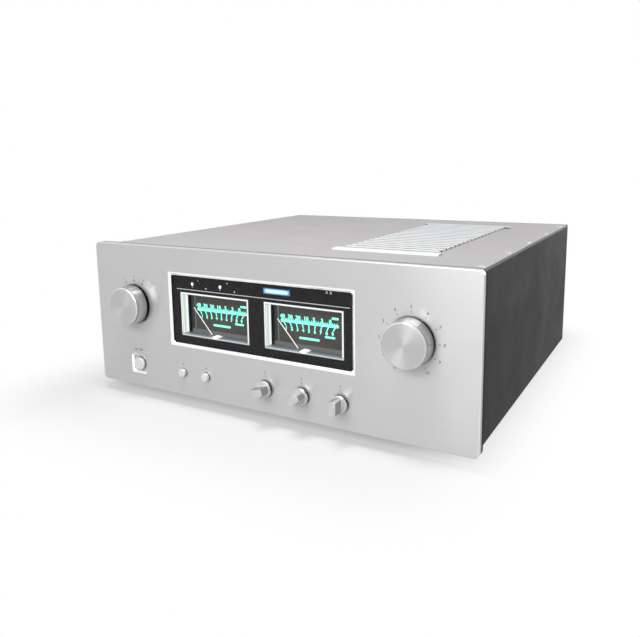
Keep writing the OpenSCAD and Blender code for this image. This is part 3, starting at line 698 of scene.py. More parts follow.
@shared("Vector Cells Amount", "Shade Height")
def straight_grain(wires: Wiring, given: Sockets) -> Sockets:
    """Straight or stretched grain: a shade about 1 and a height, from cells along each axis.

    Args:
        wires: wiring of the group.
        given: the group's inputs.

    Returns:
        The group's outputs.
    """
    stretched = wires.vector("MULTIPLY", given["Vector"], given["Cells"])
    fine = wires.noise(stretched, 1.0, 4.0)
    broad = wires.noise(wires.vector("MULTIPLY", stretched, (0.7, 0.7, 0.13)), 1.0, 2.0)
    both = wires.math("ADD", wires.times(fine, 0.65), wires.times(broad, 0.35))
    return {"Shade": wires.swing(both, given["Amount"]), "Height": both}


@shared("Vector Centre Rings Amount", "Shade Height")
def turning_rings(wires: Wiring, given: Sockets) -> Sockets:
    """Turning marks round an axis along the depth: a shade about 1 and a height.

    Args:
        wires: wiring of the group.
        given: the group's inputs.

    Returns:
        The group's outputs.
    """
    across, depth, rise = wires.axes(wires.vector("SUBTRACT", given["Vector"], given["Centre"]))
    radius = wires.length(wires.node("CombineXYZ", {0: across, 2: rise}).outputs[0])
    reach = wires.times(wires.math("ADD", radius, wires.times(depth, 0.8)), given["Rings"])
    marks = wires.noise(wires.node("CombineXYZ", {0: reach}).outputs[0], 1.0, 3.0)
    return {"Shade": wires.swing(marks, given["Amount"]), "Height": marks}


@shared("Vector Size Amount", "Shade Height")
def fine_speckle(wires: Wiring, given: Sockets) -> Sockets:
    """Fine orange-peel of a coating or moulding: a shade about 1 and a height.

    Args:
        wires: wiring of the group.
        given: the group's inputs.

    Returns:
        The group's outputs.
    """
    scaled = wires.node("VectorMath", {0: given["Vector"], 3: given["Size"]}, operation="SCALE")
    grit = wires.noise(scaled.outputs["Vector"], 1.0, 3.0)
    return {"Shade": wires.swing(grit, given["Amount"]), "Height": grit}


@shared("Vector Base Amount", "Roughness")
def handling_haze(wires: Wiring, given: Sockets) -> Sockets:
    """Broad patches left by handling and wiping: a roughness that wanders about a base.

    Args:
        wires: wiring of the group.
        given: the group's inputs.

    Returns:
        The group's outputs.
    """
    patches = wires.span(wires.noise(given["Vector"], 22.0, 4.0), 0.35, 0.7)
    return {"Roughness": wires.swing(patches, given["Amount"], 0.4, given["Base"])}


@shared("", "Mask")
def bevelled_edges(wires: Wiring, given: Sockets) -> Sockets:
    """Bevels, which face none of the three main directions: a mask.

    Args:
        wires: wiring of the group.
        given: the group's inputs.

    Returns:
        The group's outputs.
    """
    across, depth, rise = (wires.square_to(axis) for axis in range(3))
    main = wires.math("MAXIMUM", across, wires.math("MAXIMUM", depth, rise))
    return {"Mask": wires.span(main, 0.98, 0.9)}


@shared("Vector Amount Even", "Mask")
def settled_dust(wires: Wiring, given: Sockets) -> Sockets:
    """Thin dust on faces that look up, in patches, or spread all over them, which on the black sub panel is
    painted light on its upward faces: a mask.

    Args:
        wires: wiring of the group.
        given: the group's inputs.

    Returns:
        The group's outputs.
    """
    upward = wires.axes(wires.node("NewGeometry").outputs["Normal"])[2]
    patches = wires.span(wires.noise(given["Vector"], 60.0, 5.0), 0.4, 0.75)
    patches = wires.math("MAXIMUM", patches, given["Even"])
    return {"Mask": wires.times(wires.span(upward, 0.5, 1.0), patches, given["Amount"])}


@dataclass(frozen=True)
class Finish:
    """A surface finish with its own material."""
    name: str
    colour: Colour
    roughness: float

    def material(self) -> bpy.types.Material:
        """The finish's material, made on first use.

        Returns:
            The material.
        """
        name = f"{self.name}_finish"
        if name in bpy.data.materials:
            return bpy.data.materials[name]
        made = bpy.data.materials.new(name)
        made.use_nodes = True
        made.diffuse_color = (*self.colour, 1)
        self.dress(Wiring(made.node_tree))
        return made

    def dress(self, wires: Wiring) -> None:
        """Wires the finish into its shader."""
        raise NotImplementedError

    def shaded(self, wires: Wiring, shade: Socket, colour: object = None) -> Socket:
        """Colour of the finish, or a given one, times a shade that varies over the surface."""
        return wires.mix(1.0, colour or self.colour, shade, "MULTIPLY")

    def worn(self, wires: Wiring, amount: float) -> Socket:
        """Roughness of the finish with broad handling marks."""
        haze = wires.effect(handling_haze, Vector=wires.spot(), Base=self.roughness, Amount=amount)
        return haze["Roughness"]

    @staticmethod
    def speckled(wires: Wiring, size: float, amount: float) -> Sockets:
        """Shade and height of a fine speckle."""
        return wires.effect(fine_speckle, Vector=wires.spot(), Size=size, Amount=amount)


@dataclass(frozen=True)
class BrushedMetal(Finish):
    """Anodised metal with straight grain, faint handling marks, and bevels that are polished and carry a
    painted highlight.
    """
    cells: Triple = (14.0, 14.0, 1400.0)
    amount: float = 0.10
    depth: float = 0.00002
    metal: float = 0.85
    stretch: float = 0.6
    turn: float = 0.25
    edge: float = 0.0
    edge_metal: float = 0.8
    edge_colour: Colour = paint(250)
    edge_dull: float = 1.2
    rise: Pair = (-1.0, 1.0)
    rim: float = 3.0
    haze: float = 0.07

    def dress(self, wires: Wiring) -> None:
        """Wires grain into colour, roughness and relief, and paints the bevels bright, partly polish and
        partly painted highlight.

        Args:
            wires: wiring of the material.
        """
        grain = wires.effect(straight_grain, Vector=wires.spot(), Cells=self.cells, Amount=self.amount)
        bevel = wires.times(wires.effect(bevelled_edges)["Mask"], self.keen(wires))
        colour = self.shaded(wires, grain["Shade"])
        dull = wires.span(bevel, 0, 1, 1.0, self.edge_dull)
        # painted highlight: bevels turn near white, most where they face sideways, on top of their polish
        wires.surface({
            "Base Color": wires.mix(bevel, colour, self.edge_colour),
            "Roughness": wires.times(self.worn(wires, self.haze), dull),
            "Metallic": wires.span(bevel, 0, 1, self.metal, self.edge_metal),
            "Anisotropic": self.stretch, "Anisotropic Rotation": self.turn,
        })
        wires.relief(grain["Height"], self.depth)

    def keen(self, wires: Wiring) -> Socket:
        """How much painted highlight the bevels get: least on the upper and lower rim, where they look up or
        down.

        Args:
            wires: wiring of the material.

        Returns:
            The share of the bright edge.
        """
        low, high = self.rise
        half = (high - low) / 2
        sideways = wires.span(wires.square_to(0), 0.2, 0.6, 0.25, 1.0)
        away = wires.math("ABSOLUTE", wires.minus(wires.axes(wires.spot())[2], (low + high) / 2))
        inner = wires.span(away, half - self.rim * MM, half - (self.rim + 1) * MM)
        return wires.times(wires.math("MAXIMUM", sideways, inner), self.edge)


@dataclass(frozen=True)
class SpunMetal(Finish):
    """Turned metal with ring marks round its axis, a painted shadow band where it meets the panel, and
    painted shade that darkens the flank towards the panel where root is darker than side.
    """
    centre: Point = ORIGIN
    rings: float = 2600.0
    amount: float = 0.16
    stretch: float = 0.8
    turn: float = 0.25
    # painted shadow: band and shadow give a near-black ring where the piece meets the panel
    band: float = 3.0
    metal: float = 0.45
    side_metal: float = 1.0
    side_polish: float = 0.45
    # painted shade: the flank shifts from side to root towards the base, over fade; root is darker by default
    side: Colour = paint(205, 206, 207)
    root: Colour = paint(150, 151, 152)
    shadow: Colour = paint(18, 18, 19)
    edge: Colour = paint(218)
    edge_polish: float = 0.6
    fade: Pair = (3.0, 10.0)
    depth: float = 0.00003
    haze: float = 0.08

    def dress(self, wires: Wiring) -> None:
        """Wires rings, the painted shadow band at the base, the flank's painted shade towards the base,
        polished bevels and handling marks.

        Args:
            wires: wiring of the material.
        """
        spot = wires.spot()
        marks = wires.effect(turning_rings, Vector=spot, Centre=self.centre, Rings=self.rings,
                             Amount=self.amount)
        height = wires.minus(self.centre[1], wires.axes(spot)[1])
        # painted shadow band at the base
        dark = wires.span(height, *mm(self.band + 0.2, self.band))
        # flank colour runs from root at the base to side further out, a painted shade where root is darker
        flank = wires.mix(wires.span(height, *mm(*self.fade)), self.root, self.side)
        axial = wires.square_to(1)
        face = wires.span(axial, 0.2, 0.3)
        bevel = wires.times(wires.span(axial, 0.25, 0.35), wires.span(axial, 0.95, 0.85))
        colour = self.shaded(wires, marks["Shade"], wires.mix(face, flank, self.colour))
        polish = wires.times(wires.span(bevel, 0, 1, 1.0, self.edge_polish),
                             wires.span(face, 0, 1, self.side_polish, 1.0))
        tangent = wires.node("Tangent", direction_type="RADIAL", axis="Y")
        wires.surface({
            "Base Color": wires.mix(dark, wires.mix(bevel, colour, self.edge), self.shadow),
            "Roughness": wires.times(self.worn(wires, self.haze), polish),
            "Metallic": wires.span(face, 0, 1, self.side_metal, self.metal),
            "Anisotropic": self.stretch, "Anisotropic Rotation": self.turn,
            "Tangent": tangent.outputs[0],
        })
        wires.relief(marks["Height"], self.depth)


@dataclass(frozen=True)
class SlatMetal(BrushedMetal):
    """Brushed slats with painted shade on their sides in the gaps."""
    front: float = 0.0
    gap_colour: Colour = paint(124, 126, 128)
    level: float = 0.4

    def dress(self, wires: Wiring) -> None:
        """Wires the brushed tops, then paints shade on the sides behind the front bar's face.

        Args:
            wires: wiring of the material.
        """
        super().dress(wires)
        bright = wires.shader.inputs["Base Color"].links[0].from_socket
        # painted shade on the slat sides inside the gaps
        side = wires.span(wires.square_to(1), 0.5, 0.8)
        inside = wires.span(wires.axes(wires.spot())[1], self.front + MM, self.front + 2 * MM)
        wires.surface({
            "Base Color": wires.mix(wires.times(side, inside), bright, self.gap_colour),
            "Specular IOR Level": self.level,
        })


@dataclass(frozen=True)
class Coating(Finish):
    """Painted or powder-coated metal, with fine orange-peel, settled dust, painted shade on faces that look
    sideways and, where the dust is spread all over, painted light on faces that look up.
    """
    size: float = 1800.0
    amount: float = 0.25
    depth: float = 0.00006
    dust: float = 0.12
    dust_colour: Colour = (0.42, 0.41, 0.39)
    level: float = 0.5
    # spreads the dust mask all over the upward faces; on the sub panel this is painted light
    even: float = 0.0
    # painted shade: how far faces that look sideways are darkened
    flank: float = 1.0
    haze: float = 0.1

    def dress(self, wires: Wiring) -> None:
        """Wires speckle, haze and dust, the painted light on upward faces where the dust is spread all over,
        and painted shade on the faces that look sideways.

        Args:
            wires: wiring of the material.
        """
        grit = self.speckled(wires, self.size, self.amount)
        dust = wires.effect(settled_dust, Vector=wires.spot(), Amount=self.dust, Even=self.even)
        # painted shade on faces that look sideways
        shade = wires.times(grit["Shade"], wires.span(wires.square_to(0), 0.4, 0.8, 1.0, self.flank))
        wires.surface({
            "Base Color": wires.mix(dust["Mask"], self.shaded(wires, shade), self.dust_colour),
            "Roughness": self.worn(wires, self.haze), "Specular IOR Level": self.level,
        })
        wires.relief(grit["Height"], self.depth)


@dataclass(frozen=True)
class Plating(Finish):
    """Plated metal with cloudy tone and small marks."""
    cloud: Pair = (260.0, 0.22)
    depth: float = 0.00003
    haze: float = 0.14

    def dress(self, wires: Wiring) -> None:
        """Wires clouds into colour and roughness.

        Args:
            wires: wiring of the material.
        """
        cloud = self.speckled(wires, *self.cloud)
        wires.surface({
            "Base Color": self.shaded(wires, cloud["Shade"]),
            "Roughness": self.worn(wires, self.haze), "Metallic": 1.0,
        })
        wires.relief(cloud["Height"], self.depth, strength=0.2)


@dataclass(frozen=True)
class Moulding(Finish):
    """Moulded plastic or rubber with a fine texture and a little dust."""
    size: float = 2400.0
    depth: float = 0.00005
    amount: float = 0.3
    dust: float = 0.1
    dust_colour: Colour = (0.35, 0.34, 0.32)
    haze: float = 0.15

    def dress(self, wires: Wiring) -> None:
        """Wires moulded texture and dust.

        Args:
            wires: wiring of the material.
        """
        grit = self.speckled(wires, self.size, self.amount)
        dust = wires.effect(settled_dust, Vector=wires.spot(), Amount=self.dust)
        colour = self.shaded(wires, grit["Shade"])
        wires.surface({
            "Base Color": wires.mix(dust["Mask"], colour, self.dust_colour),
            "Roughness": self.worn(wires, self.haze),
        })
        wires.relief(grit["Height"], self.depth)


@dataclass(frozen=True)
class ClearPane(Finish):
    """Clear window glass with faint wiping marks."""
    bend: float = 1.07
    haze: float = 0.02

    def dress(self, wires: Wiring) -> None:
        """Wires wiping marks into the roughness of clear glass.

        Args:
            wires: wiring of the material.
        """
        wires.surface({
            "Base Color": (*self.colour, 1), "Roughness": self.worn(wires, self.haze),
            "IOR": self.bend, "Transmission Weight": 1.0,
        })


@dataclass(frozen=True)
class Ink(Finish):
    """Printed ink, a little uneven, that may glow."""
    glow: float = 0.0
    patches: Pair = (900.0, 0.35)

    def dress(self, wires: Wiring) -> None:
        """Wires uneven ink into colour and glow.

        Args:
            wires: wiring of the material.
        """
        colour = self.shaded(wires, self.speckled(wires, *self.patches)["Shade"])
        wires.surface({"Base Color": colour, "Roughness": self.roughness})
        if self.glow:
            wires.surface({"Emission Color": colour, "Emission Strength": self.glow})


@dataclass(frozen=True)
class NeedlePaint(Finish):
    """White needle paint, lit by the scale, that leaves the hub dark."""
    pivot: Point = ORIGIN
    hub: float = 3.0
    hub_colour: Colour = paint(40, 38, 38)
    hub_fade: float = 0.6
    patches: Pair = (700.0, 0.25)
    light: float = 0.6

    def dress(self, wires: Wiring) -> None:
        """Wires white along the blade and dark round the pivot.

        Args:
            wires: wiring of the material.
        """
        flat = wires.vector("MULTIPLY", wires.vector("SUBTRACT", wires.spot(), self.pivot), (1, 0, 1))
        far = wires.span(wires.length(flat), *mm(self.hub, self.hub + self.hub_fade))
        white = self.shaded(wires, self.speckled(wires, *self.patches)["Shade"])
        colour = wires.mix(far, self.hub_colour, white)
        wires.surface({
            "Base Color": colour, "Roughness": self.roughness,
            "Emission Color": colour, "Emission Strength": self.light,
        })


@dataclass(frozen=True)
class LitFrame(Finish):
    """Edge-lit acrylic frame: thin bright rim, glowing left wall and nub, dim ledge; sizes in millimetres."""
    low: Point = ORIGIN
    high: Point = ORIGIN
    wall: float = 2.0
    ledge: Pair = (0.5, 6.0)
    rim: Pair = (1.7, 1.3)
    rim_foot: Pair = (2.4, 3.2)
    nub: Pair = (4.1, 1.6)
    strip: Pair = (0.6, 2.0)
    clouds: Pair = (3.6, 6.0)
    bright: Colour = paint(250, 252, 252)

    @staticmethod
    def of(side: str) -> "LitFrame":
        """Finish of the left or right meter's frame."""
        low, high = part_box(f"meter_frame_{side}")
        return LitFrame(f"lit_frame_{side}", paint(60, 66, 66), 0.25, tuple(low), tuple(high))

    def dress(self, wires: Wiring) -> None:
        """Wires the light in the acrylic by face direction, depth and distance from the edges.

        Args:
            wires: wiring of the material.
        """
        spot = wires.spot()
        place = wires.axes(spot)
        sideways, ahead, _ = wires.facing()
        depth = wires.minus(place[1], self.low[1])
        rise = wires.minus(place[2], self.low[2])
        cloudy = wires.noise(wires.vector("MULTIPLY", spot, (40, 40, 25)), 1.0, 2.0)
        colour = wires.mix(wires.span(depth, *mm(*self.ledge)), paint(122, 126, 130), paint(70, 76, 82))
        colour = wires.mix(wires.span(sideways, 0.4, 0.9), colour, self.glow(wires, depth, cloudy))
        rim = wires.mix(wires.span(rise, *mm(*self.rim_foot)), paint(196, 200, 202), self.bright)
        edge = wires.span(self.inset(wires, place), *mm(*self.rim))
        colour = wires.mix(wires.times(edge, wires.span(ahead, -0.5, -0.9)), colour, rim)
        colour = wires.mix(self.on_nub(wires, spot), colour, self.bright)
        wires.surface({
            "Base Color": self.shaded(wires, wires.span(cloudy, 0, 1, 0.9, 1.05)),
            "Roughness": wires.span(cloudy, 0, 1, self.roughness - 0.06, self.roughness + 0.06),
            "Emission Color": colour, "Emission Strength": 1.0,
        })

    def glow(self, wires: Wiring, depth: Socket, cloudy: Socket) -> Socket:
        """Colour of the lit left wall: a grey-green strip near the front, then pale green clouds.

        Args:
            wires: wiring of the material.
            depth: distance from the frame's front.
            cloudy: soft noise.

        Returns:
            The colour.
        """
        inward = wires.span(depth, *mm(*self.strip), smooth=True)
        front = wires.mix(inward, paint(248, 252, 250), paint(204, 218, 200))
        deep = wires.span(depth, *mm(*self.clouds), smooth=True)
        lit = wires.mix(deep, front, paint(246, 252, 250))
        return wires.mix(wires.span(cloudy, 0.5, 0.8, 0.0, 0.4), lit, paint(214, 232, 196))

    def inset(self, wires: Wiring, place: Sequence[Socket]) -> Socket:
        """Distance from the frame's outer edges.

        Args:
            wires: wiring of the material.
            place: the three parts of the object coordinates.

        Returns:
            The distance in metres.
        """
        gaps = []
        for axis in (0, 2):
            mid = (self.low[axis] + self.high[axis]) / 2
            half = (self.high[axis] - self.low[axis]) / 2
            gaps.append(wires.minus(half, wires.math("ABSOLUTE", wires.minus(place[axis], mid))))
        return wires.math("MINIMUM", *gaps)

    def on_nub(self, wires: Wiring, spot: Socket) -> Socket:
        """Mask of the nub in the middle of the lower ledge.

        Args:
            wires: wiring of the material.
            spot: object coordinates.

        Returns:
            The mask.
        """
        wide, tall = mm(*self.nub)
        mid = ((self.low[0] + self.high[0]) / 2, 0.0, self.low[2] + self.wall * MM)
        flat = wires.vector("SUBTRACT", wires.vector("MULTIPLY", spot, (1, 0, 1)), mid)
        return wires.span(wires.length(wires.vector("DIVIDE", flat, (wide, 1.0, tall))), 1.05, 0.95)


@dataclass(frozen=True)
class DialCard(Finish):
    """Dark dial card with a faint warm glow, a darker strip at its left end and a dim lower edge."""
    centre: Point = ORIGIN
    corner: Point = ORIGIN
    reach: float = 45.0
    strip: Pair = (5.0, 4.6)
    line_start: Pair = (4.5, 4.7)
    line_end: Pair = (5.4, 5.2)
    line_share: float = 0.6
    foot: Pair = (2.6, 2.2)
    fibre: Pair = (700.0, 0.3)
    depth: float = 0.00003
    light: float = 0.8

    @staticmethod
    def of(side: str) -> "DialCard":
        """Finish of the left or right meter's dial."""
        centre = middle(f"meter_dial_{side}")
        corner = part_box(f"meter_frame_{side}")[0] + Vector(mm(LitFrame.wall, 0, LitFrame.wall))
        return DialCard(f"dial_card_{side}", paint(44, 41, 38), 0.7, tuple(centre), tuple(corner))

    def dress(self, wires: Wiring) -> None:
        """Wires the glow from the card's middle, the strip with its edge line and the lower edge.

        Args:
            wires: wiring of the material.
        """
        spot = wires.spot()
        across, _, rise = wires.axes(wires.vector("SUBTRACT", spot, self.corner))
        fibre = self.speckled(wires, *self.fibre)
        near = wires.length(wires.vector("SUBTRACT", spot, self.centre))
        far = wires.span(near, 0.0, self.reach * MM, smooth=True)
        glow = wires.mix(far, paint(62, 56, 50), paint(46, 45, 44))
        glow = wires.mix(wires.span(across, *mm(*self.strip)), glow, paint(34, 36, 40))
        line = wires.times(wires.span(across, *mm(*self.line_start)),
                           wires.span(across, *mm(*self.line_end)), self.line_share)
        glow = wires.mix(line, glow, paint(176, 186, 190))
        glow = wires.mix(wires.span(rise, *mm(*self.foot)), glow, paint(104, 106, 108))
        wires.surface({
            "Base Color": self.shaded(wires, fibre["Shade"]), "Roughness": self.roughness,
            "Emission Color": self.shaded(wires, fibre["Shade"], glow), "Emission Strength": self.light,
        })
        wires.relief(fibre["Height"], self.depth)


@dataclass(frozen=True)
class LampBar(Finish):
    """Lit bar: a pale core that fades into deep blue at its ends and edges; sizes in millimetres."""
    centre: Point = ORIGIN
    half_long: Pair = (14.8, 10.36)
    half_tall: Pair = (2.75, 0.2)
    core: Colour = paint(206, 242, 252)
    light: float = 0.9

    def dress(self, wires: Wiring) -> None:
        """Wires the glow from the bar's middle line outwards.

        Args:
            wires: wiring of the material.
        """
        across, _, rise = wires.axes(wires.vector("SUBTRACT", wires.spot(), self.centre))
        upright = wires.span(wires.math("ABSOLUTE", rise), *mm(*self.half_tall), smooth=True)
        along = wires.span(wires.math("ABSOLUTE", across), *mm(*self.half_long), smooth=True)
        patchy = wires.span(wires.noise(wires.spot(), 420.0, 2.0), 0.3, 0.7, 0.75, 1.0)
        colour = wires.mix(wires.times(upright, along, patchy), self.colour, self.core)
        wires.surface({
            "Base Color": colour, "Roughness": self.roughness,
            "Emission Color": colour, "Emission Strength": self.light,
        })


@dataclass(frozen=True)
class CircuitBoard(Finish):
    """Green lacquered board with copper tracks under the lacquer."""
    track: Colour = paint(70, 140, 84)
    cells: float = 140.0
    depth: float = 0.00004
    haze: float = 0.1

    def dress(self, wires: Wiring) -> None:
        """Wires tracks and lacquer.

        Args:
            wires: wiring of the material.
        """
        cells = wires.node("TexVoronoi", {"Vector": wires.spot(), "Scale": self.cells},
                           distance="MANHATTAN", feature="F1").outputs["Distance"]
        track = wires.span(cells, 0.52, 0.56)
        wires.surface({
            "Base Color": wires.mix(track, self.colour, self.track),
            "Roughness": self.worn(wires, self.haze),
        })
        wires.relief(track, self.depth)


@dataclass(frozen=True)
class Wound(Finish):
    """Taped winding or sleeve: bands with soft edges."""
    second: Colour = (0.3, 0.2, 0.07)
    bands: float = 60.0
    depth: float = 0.0003
    haze: float = 0.12

    def dress(self, wires: Wiring) -> None:
        """Wires the bands into colour and relief.

        Args:
            wires: wiring of the material.
        """
        wave = wires.node("TexWave", {
            "Vector": wires.spot(), "Scale": self.bands, "Distortion": 1.2, "Detail": 2.0,
        }, bands_direction="DIAGONAL").outputs["Fac"]
        wires.surface({
            "Base Color": wires.mix(wave, self.colour, self.second),
            "Roughness": self.worn(wires, self.haze),
        })
        wires.relief(wave, self.depth)


# edge paints a highlight on the face plate's bevels, on top of their polish
FACE_METAL = BrushedMetal(
    "brushed_face_metal", paint(198, 198, 199), 0.32, metal=0.4, stretch=0.8, edge=0.9,
    rise=(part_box("front_panel")[0].z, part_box("front_panel")[1].z))
TRIM_METAL = BrushedMetal(
    "bezel_metal", paint(252), 0.18, (60, 60, 900), 0.04, 0.00001, metal=1.0, stretch=0.3)
SLAT_METAL = SlatMetal(
    "slat_metal", paint(250, 252, 253), 0.5, (30, 900, 900), 0.08, 0.00002, metal=0.0, stretch=0.0,
    front=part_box("top_grille")[0].y)
SINK_BLACK = BrushedMetal(
    "sink_black", paint(48, 48, 50), 0.45, (900, 30, 900), 0.2, 0.00003, metal=0.6, stretch=0.3)
# flank paints shade on the cover's side faces
COVER_PAINT = Coating(
    "cover_satin", paint(190, 187, 188), 0.5, 1500.0, 0.10, 0.00003, dust=0.05,
    dust_colour=(0.6, 0.58, 0.56), level=0.25, flank=0.6)
BLACK_COAT = Coating(
    "black_powder_coat", paint(40, 38, 39), 0.62, 1300.0, 0.4, 0.00012, dust=0.08, level=0.15)
# painted light: dust spread all over the upward faces turns the black sub panel's top faces pale grey
SUB_BLACK = Coating(
    "sub_panel_black", paint(22, 22, 23), 0.6, 1500.0, 0.4, 0.00008, dust=0.8,
    dust_colour=(0.4, 0.4, 0.4), level=0.1, even=0.9)
MASK_COAT = Coating(
    "mask_black", paint(43, 42, 43), 0.6, 900.0, 0.3, 0.00002, dust=0.0,
    dust_colour=(0.2, 0.2, 0.2), level=0.05)
PLATED = Plating("plated_steel", paint(200, 200, 202), 0.28)
SCREW_STEEL = Plating("screw_steel", paint(240, 240, 242), 0.18)
GOLD = Plating("gold_plate", paint(222, 186, 104), 0.22)
DARK_PLASTIC = Moulding("dark_plastic", paint(44, 44, 46), 0.5)
RUBBER = Moulding("foot_rubber", paint(30), 0.75, 1600.0, 0.0001)
RED_CAP = Moulding("red_cap", paint(178, 26, 24), 0.25, 3000.0, 0.00002)
BLACK_CAP = Moulding("black_cap", paint(30, 30, 31), 0.28, 3000.0, 0.00002)
NEEDLE_PAINT = Ink("needle_white", paint(240, 232, 226), 0.4, 0.45)
BLACK_INK = Ink("panel_ink", paint(58, 58, 60), 0.5)
PALE_INK = Ink("mask_ink", paint(205), 0.5, 0.35)
REAR_INK = Ink("rear_ink", paint(225), 0.5)
SCALE_INK = Ink("scale_glow", paint(124, 236, 208), 0.5, 0.95)
LAMP_WHITE = Ink("lamp_white", paint(250, 252, 253), 0.3, 1.0)
GLASS = ClearPane("window_glass", (0.97, 0.985, 0.985), 0.02)
BOARD = CircuitBoard("circuit_board", paint(28, 92, 52), 0.3)
WINDING = Wound("winding_tape", paint(176, 146, 82), 0.4)
CAN_SLEEVE = Wound("can_sleeve", paint(44, 60, 122), 0.35, paint(36, 50, 104), 24.0)


@dataclass
class FacePlate:
    """Bright face plate with its window, control holes and power recess; sizes in millimetres."""
    corner: float = 5.0
    rim: float = 1.1
    window: Pair = (215.0, 77.5)
    reach: float = 20.0
    big_hole: float = 8.6
    tone_hole: float = 7.3
    button_gap: float = 0.35
    recess: float = 17.5
    recess_corner: float = 3.0
    recess_depth: float = 2.2
    flare: float = 1.4
    flare_wide: float = 2.2

    def build(self) -> None:
        """Makes the plate and dresses it."""
        plate = Bench.block("face_plate", *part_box("front_panel"))
        Bench.bevel(plate, along_depth, self.corner, segments=8)
        Bench.bevel(plate, on_front(FRONT), self.rim, segments=4)
        Bench.cut(plate, self.window_cutter(), self.recess_cutter(), Bench.join("drills", self.drills()))
        Bench.hand_over(plate, Body.CHASSIS, Slot.FACE, FACE_METAL, ["front_panel"], angle=25)

    def window_cutter(self) -> Piece:
        """Cutter of the window opening.

        Returns:
            The cutter.
        """
        mid = middle("window_bezel")
        half = Vector((self.window[0] / 2, self.reach, self.window[1] / 2)) * MM
        return Bench.block("window_cutter", mid - half, mid + half)

    def recess_cutter(self) -> Piece:
        """Cutter of the square recess, which flares out at the panel's face.

        Returns:
            The cutter.
        """
        spot = on_face("power_button")
        half = self.recess / 2
        low = spot + Vector(mm(-half, self.flare, -half))
        high = spot + Vector(mm(half, self.recess_depth, half))
        return Bench.flared("recess_cutter", low, high, self.recess_corner, self.flare, self.flare_wide)

    def drills(self) -> list[Piece]:
        """Cutters of the holes behind the knobs and round the buttons.

        Returns:
            The cutters.
        """
        holes = {f"{name}_shaft": self.big_hole for name in ("volume", "selector")}
        holes |= {f"{name}_shaft": self.tone_hole for name in TONES}
        for name in ("power_button", "speaker_button_a", "speaker_button_b"):
            low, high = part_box(name)
            holes[name] = (high.x - low.x) / 2 / MM + self.button_gap
        return [Bench.drill(radius, on_face(node)) for node, radius in holes.items()]


@dataclass
class WindowBezel:
    """Bright frame of the window, with a sloping face and rounded inner corners; sizes in millimetres."""
    width: float = 3.2
    wall: float = 1.0
    lip: float = 1.5
    edge: float = 0.3
    corner: float = 2.4
    flare_wide: float = 1.6
    clear: float = 5.0
    overlap: float = 0.2

    def build(self) -> None:
        """Makes the bezel and dresses it."""
        low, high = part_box("window_bezel")
        ring = Bench.block("window_bezel_ring", low, high)
        pocket = Bench.block("pocket", low + Vector(mm(self.wall, self.lip, self.wall)),
                             high + Vector(mm(-self.wall, self.clear, -self.wall)))
        Bench.cut(ring, pocket, self.mouth(low, high))
        Bench.hand_over(ring, Body.CHASSIS, Slot.TRIM, TRIM_METAL, ["window_bezel"], angle=30)

    def mouth(self, low: Vector, high: Vector) -> Piece:
        """Cutter of the opening, rounded in its corners and wider at the front.

        Args:
            low: lowest corner of the bezel.
            high: highest corner of the bezel.

        Returns:
            The cutter.
        """
        rise = self.lip - self.edge
        start = low + Vector(mm(self.width, rise, self.width))
        end = high - Vector(mm(self.width, 0, self.width))
        end.y = low.y + (self.lip + self.overlap) * MM
        return Bench.flared("mouth", start, end, self.corner, rise, self.flare_wide)


@dataclass
class WindowPane:
    """Clear pane with softened edges, a hair in front of the mask; sizes in millimetres."""
    gap: float = 0.2
    edge: float = 0.25

    def build(self) -> None:
        """Makes the pane and dresses it."""
        low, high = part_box("window_glass")
        pane = Bench.block("window_pane", low, high - Vector(mm(0, self.gap, 0)))
        Bench.bevel(pane, on_front(low.y), self.edge, segments=2)
        pane.visible_shadow = False
        pane.visible_diffuse = False
        Bench.hand_over(pane, Body.CHASSIS, Slot.WINDOW, GLASS, ["window_glass"], angle=30)


@dataclass
class IndicatorLamps:
    """Two small lamps with domed lenses that look through the mask; sizes in millimetres."""
    spots: Pair = (-81.6, -46.2)
    radius: float = 1.5
    dome: float = 0.12

    def build(self) -> None:
        """Turns one lamp, copies it and dresses both."""
        low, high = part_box("indicator_lamps")
        long = (high.y - low.y) / MM
        profile = [
            (0, 0), (self.radius, 0), (self.radius, long - 0.1),
            (self.radius * 0.85, long + self.dome * 0.5), (self.radius * 0.5, long + self.dome * 0.9),
            (0, long + self.dome),
        ]
        left, right = mm(*self.spots)
        first = Bench.turned("lamp", profile, steps=24)
        Bench.place(first, (left, high.y, (low.z + high.z) / 2), AHEAD)
        lamps = Bench.join("lamp_lenses", [first, Bench.copy(first, (right - left, 0, 0))])
        Bench.hand_over(lamps, Body.CHASSIS, Slot.LAMP, LAMP_WHITE, ["indicator_lamps"], angle=40)


@dataclass
class TurnedKnob:
    """Base of every knob: where it sits and how its index notch is cut; sizes in millimetres."""
    name: str
    body: Body
    rest: float
    notch: Triple = (1.6, 1.2, 3.0)

    def centre(self) -> Point:
        """Point on the knob's axis at its CAD node's back."""
        mid = middle(f"{self.name}_shaft")
        return mid.x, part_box(f"{self.name}_knob")[1].y, mid.z

    def notch_cutter(self, radius: float) -> Piece:
        """Cutter of the index notch at the top of a base of that radius.

        Args:
            radius: radius of the base.

        Returns:
            The cutter.
        """
        wide, deep, tall = self.notch
        return Bench.block("notch", Vector(mm(-wide / 2, radius - deep, -1)),
                           Vector(mm(wide / 2, radius + 1, tall)))

    def metal(self) -> SpunMetal:
        """Spun finish that is centred on this knob."""
        return SpunMetal(f"spun_{self.name}", paint(190, 190, 191), 0.36, self.centre())

    def finish(self, knob: Piece) -> None:
        """Seats a knob at its rest angle, dresses it and lets it stand for its node."""
        Bench.place(knob, self.centre(), AHEAD @ Matrix.Rotation(-math.radians(self.rest), 4, "Z"))
        Bench.hand_over(knob, self.body, Slot.TURNED, self.metal(), [f"{self.name}_knob"], angle=28)


